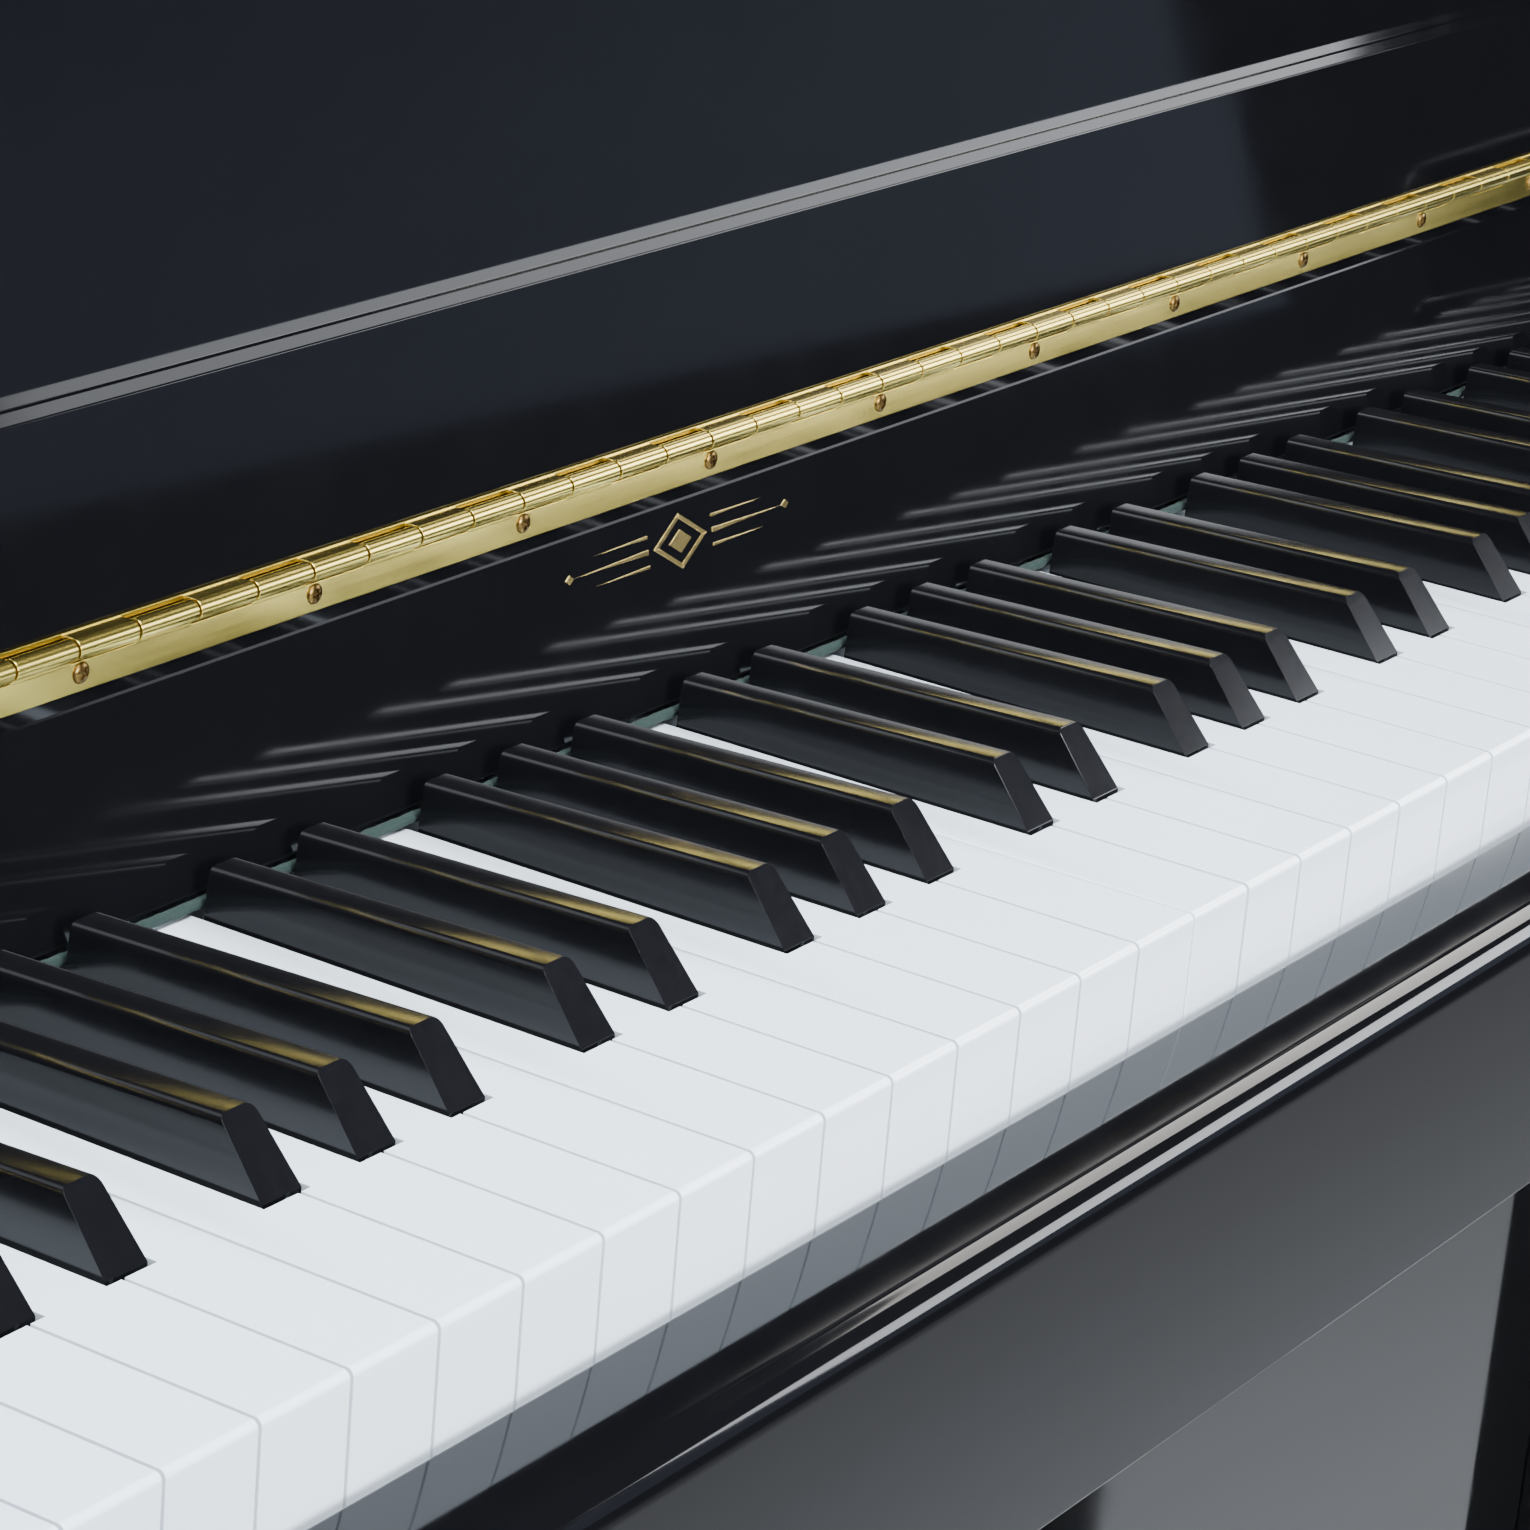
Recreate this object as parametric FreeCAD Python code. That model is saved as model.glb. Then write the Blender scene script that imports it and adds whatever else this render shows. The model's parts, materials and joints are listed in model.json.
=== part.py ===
import FreeCAD, Part
import math
import os

# Upright piano, in millimetres. +Z is up, +X is to the player's right, and the player sits on the -Y side.
# The origin is on the floor, at the middle of the piano's width and depth.

# ---- overall case ----
overall_width = 1500.0      # across the top lid
depth = 600.0               # front of the key arms to the back posts
lid_top = 1210.0
lid_overhang = 8.0          # how far the top lid stands past each side
lid_thickness = 22.0
side_thickness = 38.0
foot_height = 45.0
bottom_board_thickness = 20.0
toe_rail_height = 88.0
pedal_slot_half = 16.0
pedal_slot_rise = 32.0      # the slots' top above the pedals
panel_thickness = 18.0
panel_front_y = -38.0       # front face of the upper and lower panels
side_front_y = -60.0        # front edge of the sides, above and below the arms
arm_corner_radius = 40.0
arm_drop = 28.0             # how much the arm's top falls towards its nose
arm_nose_radius = 15.0
gap = 0.4                   # clearance between pieces that move past each other

# ---- keyboard ----
natural_count = 52
natural_pitch = 23.5
natural_top = 730.0         # height of the playing surface
natural_front_y = -257.0
natural_gap = 0.9
natural_head = 49.0         # front edge to the notch beside a sharp
natural_front_radius = 1.6
stick_height = 26.0
stick_length = 390.0
stick_step_y = -108.0       # behind this line the stick is lower, under the nameboard
stick_step = 2.0
sharp_width = 11.0
sharp_top_width = 9.0
sharp_height = 12.0
sharp_start = 50.3          # front foot of a sharp, behind the naturals' front edge
sharp_slope = 11.5          # run of the sloping front facet
sharp_end = 143.0
sharp_clearance = 1.0
sharp_base_drop = 6.0       # the stick's top under a sharp, below the naturals' top
offset_two = 2.35           # sideways shift of the two-sharp group
offset_three = 3.36         # sideways shift of the outer sharps in the three-sharp group
key_dip = 10.0
balance_setback = 225.0     # front edge to balance pin
front_pin_setback = 27.0
pin_radius = 1.6
mortise_clearance = 0.5
capstan_y = 105.0
capstan_radius = 3.0
capstan_height = 14.0
frame_rail_height = 10.0    # front rail of the key frame above the key bed
frame_rail_half = 16.0      # that rail past the front pins
balance_rail_half = 22.0
balance_washer = 4.0
back_rail_depth = 50.0
punching_radius = 4.5
front_pin_rise = 6.0        # front pin into the stick
balance_pin_rise = 4.0      # balance pin above the naturals' top

# ---- key bed, slip and blocks ----
keybed_top = 676.0
keybed_thickness = 40.0
keybed_back_y = 150.0
slip_gap = 3.0              # key fronts to the slip's back
slip_depth = 28.0
slip_drop = 22.0            # the slip's top below the naturals' top
slip_fall = 2.0             # how much its top falls towards the nose
slip_nose_radius = 8.0
key_end_clearance = 3.0
block_back_y = -112.0
block_rise = 12.0

# ---- nameboard and its hinge rail ----
nameboard_foot_y = -110.0
nameboard_foot_rise = 3.0   # clearance above the naturals
nameboard_rise = 46.5       # naturals' top to the board's top arris
nameboard_lean = 11.57      # degrees
nameboard_thickness = 16.0
rail_height = 12.9
felt_depth = 2.5
felt_height = 2.8
felt_clearance = 0.6

# ---- fallboard and its piano hinge ----
hinge_rise = 12.3           # hinge axis above the nameboard's top arris
hinge_knuckle_radius = 2.3
hinge_pin_radius = 1.0
hinge_pin_clearance = 0.1
hinge_leaf_thickness = 1.2
hinge_leaf_proud = 0.3
hinge_leaf_drop = 9.0       # lower leaf's bottom edge below the axis
hinge_knuckle_gap = 0.3
screw_pitch = 71.6
knuckles_per_screw = 4
screw_datum_x = -243.2      # one screw's place; the rest are whole pitches from it
screw_end_margin = 8.0
screw_knuckle_offset = 2.6  # screw to the knuckle joint beside it
screw_head_radius = 2.3
screw_head_height = 1.1
screw_shank_radius = 1.2
screw_length = 12.0
screw_drop = 5.1            # screw centre below the hinge axis
upper_leaf_depth = 14.0
fall_lean = 10.0            # degrees from upright when it stands open
fall_length = 193.0
fall_face_setback = 2.8     # inner face behind the hinge axis
fall_thickness = 20.0
fall_rail_height = 45.0     # height of the thick band above the hinge
fall_relief = 12.0          # depth of the step above that band
fall_lip_thickness = 16.0
fall_lip_depth = 38.6
fall_foot_rise = 2.6        # foot of the fall above the hinge axis
fall_end_clearance = 1.5
bumper_radius = 6.0
bumper_drop = 22.0          # bumpers below the fall's top edge
bumper_spread = 0.8         # their place, as a share of half the inside width

# ---- top lid and music desk ----
lid_split_y = 70.0
lid_front_y = -60.0
lid_hinge_rise = 2.2
lid_leaf_width = 16.0
lid_hinge_pitch = 24.0
desk_width = 700.0
desk_height = 160.0
desk_thickness = 12.0
desk_axis_z = 1008.0
desk_axis_setback = 3.0     # axis in front of the upper panel
desk_barrel_radius = 2.5
desk_barrel_half = 300.0
desk_lug_front = 1.3        # lug in front of the axis
desk_lug_drop = 4.0
desk_lug_width = 8.0
desk_lug_gap = 2.0
desk_pin_grip = 12.0        # pin inside the desk's barrel
desk_ledge_depth = 30.0
desk_ledge_thickness = 9.0

# ---- strings, plate, soundboard and back ----
bass_notes = 28
bass_string_y = 173.0
treble_string_y = 181.0
bass_string_radius = 2.0
treble_string_radius = 0.5
string_spacing = 3.4
strike_z = 970.0
agraffe_z = 1040.0
pin_field_bottom = 1062.0
pin_row_pitch = 22.0
pin_rows = 4
pin_field_start = 18.0      # lowest pin row above the field's bottom
pin_stagger = 5.0           # step in height between the pins of one note
tuning_pin_radius = 1.5
tuning_pin_length = 42.0
bass_slope = 0.4            # how far a bass string runs sideways for each millimetre down
treble_slope = -0.06
hitch_z = 240.0
bass_hitch_rise = 60.0      # lowest bass string's end above the hitch line
bass_hitch_step = 2.0
hitch_run = 90.0            # string from the bridge down to its hitch
shortest_string = 55.0
string_growth = 1.87        # string length ratio over one octave
longest_treble = 1250.0
plate_front_y = 188.0
plate_thickness = 10.0
plate_bottom = 150.0
plate_top = 1176.0
strut_width = 24.0
plate_border = 34.0
soundboard_y = 214.0
soundboard_thickness = 8.0
rib_depth = 16.0
rib_width = 22.0
rib_count = 8
bridge_width = 30.0
bridge_clearance = 0.3
post_depth = 62.0
post_width = 76.0
post_count = 5
back_beam_height = 120.0

# ---- action ----
pivot_rod_radius = 0.8
pivot_bore_clearance = 0.08
action_end_inset = 30.0     # action end brackets inside the case sides
action_end_thickness = 10.0
action_end_front_y = 100.0
action_end_back_y = 160.0
action_end_top = 980.0
main_rail_front_y = 128.0
main_rail_back_y = 146.0
main_rail_bottom = 799.0
main_rail_top = 826.0
rest_rail_front_y = 86.0
rest_rail_back_y = 99.0
rest_rail_bottom = 918.0
rest_rail_top = 946.0
rest_horn_back_y = 124.0
rest_horn_bottom = 832.0
rest_horn_thickness = 8.0
rest_overhang = 16.0        # rest rail past the end keys
whippen_pivot_y = 141.0
whippen_pivot_z = 778.0
whippen_width = 8.0
whippen_front_y = 75.0
whippen_depth = 12.0        # height of its bar
whippen_drop = 7.0          # bar's underside below the pivot
whippen_tail = 5.0          # bar past the pivot
heel_half = 7.0             # half the heel's length over the capstan
jack_front_y = 96.0
jack_back_y = 103.0
jack_inset = 2.0
jack_top = 818.0
check_inset = 1.5
check_thickness = 5.0
check_top = 842.0
butt_pivot_y = 118.0
butt_pivot_z = 840.0
hammer_width = 9.0
hammer_lean = 18.0          # the head stands this far in front of the butt axis
blow_distance = 46.0
butt_inset = 1.0
butt_front = 14.0           # butt in front of its pivot
butt_back = 6.0
butt_below = 11.0
butt_above = 12.0
head_tail = 13.0            # head's wood in front of the shank
head_tail_half = 5.0
head_half = 7.0             # half the head's height at the shank
felt_nose = 2.0             # how far the felt's tip tapers
treble_felt_half = 5.0
bass_felt_extra = 8.0
shank_radius = 2.6
damper_pivot_y = 152.0
damper_pivot_z = 838.0
damper_notes = 64
damper_lever_half = 3.0
damper_lever_front_y = 149.0
damper_lever_back_y = 156.0
damper_lever_below = 32.0
damper_lever_above = 30.0
damper_wire_radius = 1.2
damper_wire_lean = 4.0
damper_head_half = 4.5
damper_head_setback = 2.0
break_clearance = 5.0       # first tenor damper past the last bass string
damper_bottom = 900.0
damper_top = 938.0
mute_bottom = 1002.0
mute_height = 40.0
mute_thickness = 2.5
mute_clearance = 1.6        # mute felt in front of the strings
mute_batten_height = 14.0
mute_batten_front_y = 152.0

# ---- pedals and their linkage ----
pedal_spacing = 70.0
pedal_tip_y = -165.0
pedal_pivot_y = 90.0
pedal_z = 80.0
pedal_thickness = 9.0
pedal_tip_width = 46.0
pedal_neck_width = 20.0
pedal_tip_length = 92.0
pedal_pin_radius = 4.0
pivot_clearance = 0.1
rod_radius = 4.0
lever_z = 130.0
lever_height = 20.0
lever_width = 24.0
outer_lever_y = 40.0
middle_lever_y = 4.0
side_dowel_x = 650.0
middle_dowel_x = 684.0
dowel_radius = 7.0
dowel_top = 770.0
dowel_hole_clearance = 3.0
side_fulcrum_x = 328.0
ear_gap = 14.0              # pedal's middle to its ear
ear_thickness = 8.0
ear_half = 14.0
ear_rise = 14.0             # ear and stand above their pins
stand_half = 12.0
stand_gap = 1.0
stand_thickness = 8.0
lever_end = 12.0            # lever past its lifter and its dowel
pedal_tail = 10.0           # pedal behind its pin
middle_fulcrum_x = 227.0

# ---- legs and feet ----
leg_width = 52.0
leg_front_y = -290.0
leg_depth = 52.0
toe_height = 40.0
foot_radius = 24.0
foot_neck_radius = 12.0
foot_pad_height = 16.0

# ---- places worked out from the sizes above ----
half_case = overall_width / 2 - lid_overhang
half_inside = half_case - side_thickness
front_y = -depth / 2
back_y = depth / 2
side_top = lid_top - lid_thickness
case_bottom = foot_height
stick_bottom = natural_top - stick_height
balance_y = natural_front_y + balance_setback
stick_end_y = natural_front_y + stick_length
keys_left = -natural_count * natural_pitch / 2
arris_y = nameboard_foot_y + nameboard_rise * math.tan(math.radians(nameboard_lean))
arris_z = natural_top + nameboard_rise
hinge_y = arris_y + 0.6
hinge_z = arris_z + hinge_rise
rail_top = arris_z + rail_height
slip_back_y = natural_front_y - slip_gap
slip_top = natural_top - slip_drop
keybed_bottom = keybed_top - keybed_thickness
knuckle_pitch = screw_pitch / knuckles_per_screw
soundboard_back = soundboard_y + soundboard_thickness
post_front_y = back_y - post_depth


def box(x0, x1, y0, y1, z0, z1):
    return Part.makeBox(x1 - x0, y1 - y0, z1 - z0, FreeCAD.Vector(x0, y0, z0))


def prism_x(outline, x0, x1):
    """A side outline of (y, z) points, extruded from x0 to x1."""
    points = [FreeCAD.Vector(x0, y, z) for y, z in outline]
    face = Part.Face(Part.makePolygon(points + points[:1]))
    return face.extrude(FreeCAD.Vector(x1 - x0, 0, 0))


def prism_y(outline, y0, y1):
    """A front outline of (x, z) points, extruded from y0 to y1."""
    points = [FreeCAD.Vector(x, y0, z) for x, z in outline]
    face = Part.Face(Part.makePolygon(points + points[:1]))
    return face.extrude(FreeCAD.Vector(0, y1 - y0, 0))


def rod(radius, start, end):
    a = FreeCAD.Vector(*start)
    along = FreeCAD.Vector(*end) - a
    return Part.makeCylinder(radius, along.Length, a, along)


def fused(pieces):
    if len(pieces) == 1:
        return pieces[0]
    return pieces[0].multiFuse(pieces[1:]).removeSplitter()


def fillet_edges(solid, radius, wanted):
    """Rounds the straight edges whose middle passes the test `wanted`."""
    edges = [e for e in solid.Edges if wanted(e)]
    return solid.makeFillet(radius, edges)


def middle(edge):
    return edge.valueAt((edge.FirstParameter + edge.LastParameter) / 2)


def runs_along_x(edge):
    a, b = edge.valueAt(edge.FirstParameter), edge.valueAt(edge.LastParameter)
    return abs(b.x - a.x) > 0.9 * edge.Length


def runs_along_z(edge):
    a, b = edge.valueAt(edge.FirstParameter), edge.valueAt(edge.LastParameter)
    return abs(b.z - a.z) > 0.9 * edge.Length


def save(name, solids):
    shape = solids[0] if len(solids) == 1 else Part.makeCompound(solids)
    shape.exportStep("parts/" + name + ".step")


# ---- the keyboard's layout ----
LETTERS = ["A", "A#", "B", "C", "C#", "D", "D#", "E", "F", "F#", "G", "G#"]
SHARP_SHIFT = {"C#": -offset_two, "D#": offset_two, "F#": -offset_three, "G#": 0.0, "A#": offset_three}
note_count = 88
first_single = 39           # C4, the first of the keys that move alone
single_names = ["c4", "c_sharp4", "d4", "d_sharp4"]


def lay_out_keys():
    """One entry per note: (is a sharp, left edge or centre x)."""
    notes = []
    naturals = 0
    for n in range(note_count):
        letter = LETTERS[n % 12]
        edge = keys_left + naturals * natural_pitch
        if letter in SHARP_SHIFT:
            notes.append((True, edge + SHARP_SHIFT[letter]))
        else:
            notes.append((False, edge))
            naturals += 1
    return notes


NOTES = lay_out_keys()


def sharp_beside(n):
    """Centre of the sharp at note n, or None where there is no sharp."""
    if 0 <= n < note_count and NOTES[n][0]:
        return NOTES[n][1]
    return None


def tail_span(n):
    """The left and right edge of a key's stick."""
    sharp, x = NOTES[n]
    if sharp:
        return x - sharp_width / 2, x + sharp_width / 2
    notch = sharp_width / 2 + sharp_clearance
    left, right = sharp_beside(n - 1), sharp_beside(n + 1)
    x0 = x + natural_gap / 2 if left is None else left + notch
    x1 = x + natural_pitch - natural_gap / 2 if right is None else right - notch
    return x0, x1


def note_x(n):
    return sum(tail_span(n)) / 2


def key_stick(n, front, top):
    """The wooden stick from `front` to its back end, with its capstan and its two mortises."""
    x0, x1 = tail_span(n)
    side = [
        (front, stick_bottom), (stick_end_y, stick_bottom), (stick_end_y, top - stick_step),
        (stick_step_y, top - stick_step), (stick_step_y, top), (front, top),
    ]
    stick = prism_x(side, x0, x1)
    head = rod(capstan_radius, (note_x(n), capstan_y, top - stick_step - 1),
               (note_x(n), capstan_y, natural_top - stick_step + capstan_height))
    return stick.fuse(head)


def mortises(n):
    """The slots that the front pin and the balance pin run in."""
    x = note_x(n)
    w = pin_radius + mortise_clearance
    long = pin_radius + 2 * mortise_clearance
    front = natural_front_y + front_pin_setback
    if NOTES[n][0]:
        front = natural_front_y + sharp_start + front_pin_setback
    low, high = stick_bottom - 1, stick_bottom + stick_height - 7
    return [
        box(x - w, x + w, front - long, front + long, low, high),
        box(x - w, x + w, balance_y - long - mortise_clearance,
            balance_y + long + mortise_clearance, low, natural_top + 1),
    ]


def natural_key(n):
    x = NOTES[n][1]
    head = box(x + natural_gap / 2, x + natural_pitch - natural_gap / 2, natural_front_y,
               natural_front_y + natural_head, stick_bottom, natural_top)
    head = fillet_edges(head, natural_front_radius, lambda e: runs_along_x(e)
                        and middle(e).y < natural_front_y + 1 and middle(e).z > natural_top - 1)
    key = head.fuse(key_stick(n, natural_front_y + natural_head - 1, natural_top))
    for slot in mortises(n):
        key = key.cut(slot)
    return key.removeSplitter()


def sharp_key(n):
    x = NOTES[n][1]
    low = natural_top - sharp_base_drop
    front = natural_front_y + sharp_start
    y1 = natural_front_y + sharp_end
    top = natural_top + sharp_height
    foot = [(front, low), (y1, low), (y1, top), (front + sharp_slope, top), (front, natural_top)]
    block = prism_x(foot, x - sharp_width / 2, x + sharp_width / 2)
    flare = (sharp_width - sharp_top_width) / 2
    for side in (-1, 1):
        edge = x + side * sharp_width / 2
        wedge = prism_y([(edge, natural_top), (edge + side, natural_top), (edge + side, top + 1),
                         (edge - side * flare * (1 + 1 / sharp_height), top + 1)], front - 1, y1 + 1)
        block = block.cut(wedge)
    key = block.fuse(key_stick(n, front, low))
    for slot in mortises(n):
        key = key.cut(slot)
    return key.removeSplitter()


def string_place(n):
    """Plane, radius and number of strings of a note."""
    if n < bass_notes:
        return bass_string_y, bass_string_radius * (1 - 0.02 * n), 1 if n < 10 else 2
    return treble_string_y, treble_string_radius, 3


def pivot_bore(x0, x1, y, z):
    return rod(pivot_rod_radius + pivot_bore_clearance, (x0 - 1, y, z), (x1 + 1, y, z))


def whippen(n):
    """The lever that the capstan lifts, with its jack and back check."""
    x0, x1 = note_x(n) - whippen_width / 2, note_x(n) + whippen_width / 2
    heel_bottom = natural_top - stick_step + capstan_height + gap
    low = whippen_pivot_z - whippen_drop
    high, end = low + whippen_depth, whippen_pivot_y + whippen_tail
    bar = [(whippen_front_y, low), (capstan_y - heel_half, low), (capstan_y - heel_half, heel_bottom),
           (capstan_y + heel_half, heel_bottom), (capstan_y + heel_half, low), (end, low),
           (end, high), (whippen_front_y, high)]
    body = prism_x(bar, x0, x1)
    jack = box(x0 + jack_inset, x1 - jack_inset, jack_front_y, jack_back_y, high, jack_top)
    check = box(x0 + check_inset, x1 - check_inset, whippen_front_y, whippen_front_y + check_thickness,
                high, check_top)
    return fused([body, jack, check]).cut(pivot_bore(x0, x1, whippen_pivot_y, whippen_pivot_z))


def hammer(n):
    """Butt, shank and felt head; the head lies along Y and strikes towards +Y."""
    x = note_x(n)
    string_y, radius, count = string_place(n)
    x0, x1 = x - hammer_width / 2, x + hammer_width / 2
    butt = box(x0 + butt_inset, x1 - butt_inset, butt_pivot_y - butt_front, butt_pivot_y + butt_back,
               butt_pivot_z - butt_below, butt_pivot_z + butt_above)
    head_y = butt_pivot_y - hammer_lean
    shank = rod(shank_radius, (x, butt_pivot_y - 2, butt_pivot_z + 8), (x, head_y, strike_z))
    tip = string_y - radius - blow_distance
    size = treble_felt_half + bass_felt_extra * (note_count - n) / note_count
    lower = [(head_y - head_tail, -head_tail_half), (head_y, -head_half), (tip - size, -size),
             (tip - felt_nose, -size / 2), (tip, 0)]
    outline = [(y, strike_z + z) for y, z in lower] + [(y, strike_z - z) for y, z in reversed(lower[:-1])]
    made = fused([butt, shank, prism_x(outline, x0, x1)])
    return made.cut(pivot_bore(x0, x1, butt_pivot_y, butt_pivot_z))


def damper(n):
    """Damper lever, wire and felt head, which rests on the strings below the strike line."""
    x = note_x(n)
    string_y, radius, count = string_place(n)
    x0, x1 = x - damper_lever_half, x + damper_lever_half
    lever_top = damper_pivot_z + damper_lever_above
    lever = box(x0, x1, damper_lever_front_y, damper_lever_back_y, damper_pivot_z - damper_lever_below,
                lever_top)
    wire = rod(damper_wire_radius, (x, damper_pivot_y, lever_top - 1),
               (x, damper_pivot_y + damper_wire_lean, damper_top - 8))
    felt = box(x - damper_head_half, x + damper_head_half, damper_pivot_y + damper_head_setback,
               string_y - radius - gap, damper_bottom, damper_top)
    return fused([lever, wire, felt]).cut(pivot_bore(x0, x1, damper_pivot_y, damper_pivot_z))


def make_keys():
    groups = {"bass_naturals": [], "bass_sharps": [], "treble_naturals": [], "treble_sharps": []}
    for n in range(note_count):
        key = sharp_key(n) if NOTES[n][0] else natural_key(n)
        single = n - first_single
        if 0 <= single < len(single_names):
            save("key_" + single_names[single], [key])
        else:
            side = "bass_" if single < 0 else "treble_"
            groups[side + ("sharps" if NOTES[n][0] else "naturals")].append(key)
    for name, keys in groups.items():
        save(name, keys)


def make_action():
    groups = {"bass_whippens": [], "bass_hammers": [], "treble_whippens": [], "treble_hammers": []}
    for n in range(note_count):
        single = n - first_single
        if 0 <= single < len(single_names):
            save("whippen_" + single_names[single], [whippen(n)])
            save("hammer_" + single_names[single], [hammer(n)])
        else:
            side = "bass_" if single < 0 else "treble_"
            groups[side + "whippens"].append(whippen(n))
            groups[side + "hammers"].append(hammer(n))
    for name, pieces in groups.items():
        save(name, pieces)
    last_bass = string_at(bass_notes - 1, damper_bottom)
    crossing = last_bass + string_spacing + bass_string_radius + break_clearance
    clear_notes = [n for n in range(damper_notes) if n < bass_notes or note_x(n) > crossing]
    save("dampers", [damper(n) for n in clear_notes])
    end_x = half_inside - action_end_inset
    end_half = action_end_thickness / 2
    main_rail = box(-end_x, end_x, main_rail_front_y, main_rail_back_y, main_rail_bottom, main_rail_top)
    ends = [box(side * end_x - end_half, side * end_x + end_half, action_end_front_y, action_end_back_y,
                keybed_top, action_end_top) for side in (-1, 1)]
    ends = [e.cut(main_rail) for e in ends]
    rods = []
    for y, z in ((whippen_pivot_y, whippen_pivot_z), (butt_pivot_y, butt_pivot_z),
                 (damper_pivot_y, damper_pivot_z)):
        rods.append(rod(pivot_rod_radius, (-end_x - end_half, y, z), (end_x + end_half, y, z)))
    ends = [e.cut(Part.makeCompound(rods)) for e in ends]
    save("action_rails", [main_rail] + ends + rods)
    rest_x = -keys_left + rest_overhang
    horn_half = rest_horn_thickness / 2
    rail = box(-rest_x, rest_x, rest_rail_front_y, rest_rail_back_y, rest_rail_bottom, rest_rail_top)
    horns = [box(side * rest_x - horn_half, side * rest_x + horn_half, rest_rail_front_y, rest_horn_back_y,
                 rest_horn_bottom, rest_rail_top) for side in (-1, 1)]
    rest_bore = pivot_bore(-rest_x - horn_half, rest_x + horn_half, butt_pivot_y, butt_pivot_z)
    save("hammer_rest_rail", [fused([rail] + horns).cut(rest_bore)])
    split = (note_x(bass_notes - 1) + note_x(bass_notes)) / 2
    mute_top = mute_bottom + mute_height
    bass_face = bass_string_y - bass_string_radius - mute_clearance
    treble_face = treble_string_y - treble_string_radius - mute_clearance
    strips = [box(x0, x1, face - mute_thickness, face, mute_bottom, mute_top)
              for x0, x1, face in ((-rest_x, split, bass_face), (split, rest_x, treble_face))]
    batten = box(-rest_x, rest_x, mute_batten_front_y, bass_face - mute_thickness,
                 mute_top - mute_batten_height, mute_top)
    tie = box(split, rest_x, bass_face - mute_thickness, treble_face - mute_thickness,
              mute_top - mute_batten_height, mute_top)
    save("mute_rail", [fused(strips + [batten, tie])])


def make_key_frame():
    """Three rails on the key bed, cloth punchings, and the pins the keys move on."""
    front = natural_front_y + front_pin_setback
    sharp_front = front + sharp_start
    dip_at_front = key_dip * (balance_y - front) / balance_setback
    dip_at_sharp = key_dip * (balance_y - sharp_front) / balance_setback
    front_rail_top = keybed_top + frame_rail_height
    washer_bottom = stick_bottom - balance_washer
    pieces = [
        box(keys_left, -keys_left, front - frame_rail_half, sharp_front + frame_rail_half,
            keybed_top, front_rail_top),
        box(keys_left, -keys_left, balance_y - balance_rail_half, balance_y + balance_rail_half,
            keybed_top, washer_bottom),
        box(keys_left, -keys_left, stick_end_y - back_rail_depth, stick_end_y, keybed_top,
            stick_bottom - gap),
    ]
    for n in range(note_count):
        x = note_x(n)
        y, dip = (sharp_front, dip_at_sharp) if NOTES[n][0] else (front, dip_at_front)
        punching = rod(punching_radius, (x, y, front_rail_top), (x, y, stick_bottom - dip - 2 * gap))
        pin = rod(pin_radius, (x, y, front_rail_top), (x, y, stick_bottom + front_pin_rise))
        washer = rod(punching_radius, (x, balance_y, washer_bottom), (x, balance_y, stick_bottom - gap))
        balance_pin = rod(pin_radius, (x, balance_y, washer_bottom),
                          (x, balance_y, natural_top + balance_pin_rise))
        pieces += [punching.fuse(pin), washer.fuse(balance_pin)]
    save("key_frame", pieces)


# ---- the case ----
def side_panel(x0, x1):
    arm_top_back = rail_top + 12
    arm_top_front = arm_top_back - arm_drop
    outline = [
        (side_front_y, case_bottom), (back_y, case_bottom), (back_y, side_top), (side_front_y, side_top),
        (side_front_y, arm_top_back), (front_y, arm_top_front), (front_y, keybed_bottom),
        (side_front_y, keybed_bottom),
    ]
    panel = prism_x(outline, x0, x1)
    panel = fillet_edges(panel, arm_nose_radius, lambda e: runs_along_x(e) and middle(e).y < front_y + 1)
    return fillet_edges(panel, arm_corner_radius, lambda e: runs_along_x(e)
                        and abs(middle(e).y - side_front_y) < 1
                        and keybed_bottom - 1 < middle(e).z < side_top - 1)


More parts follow.
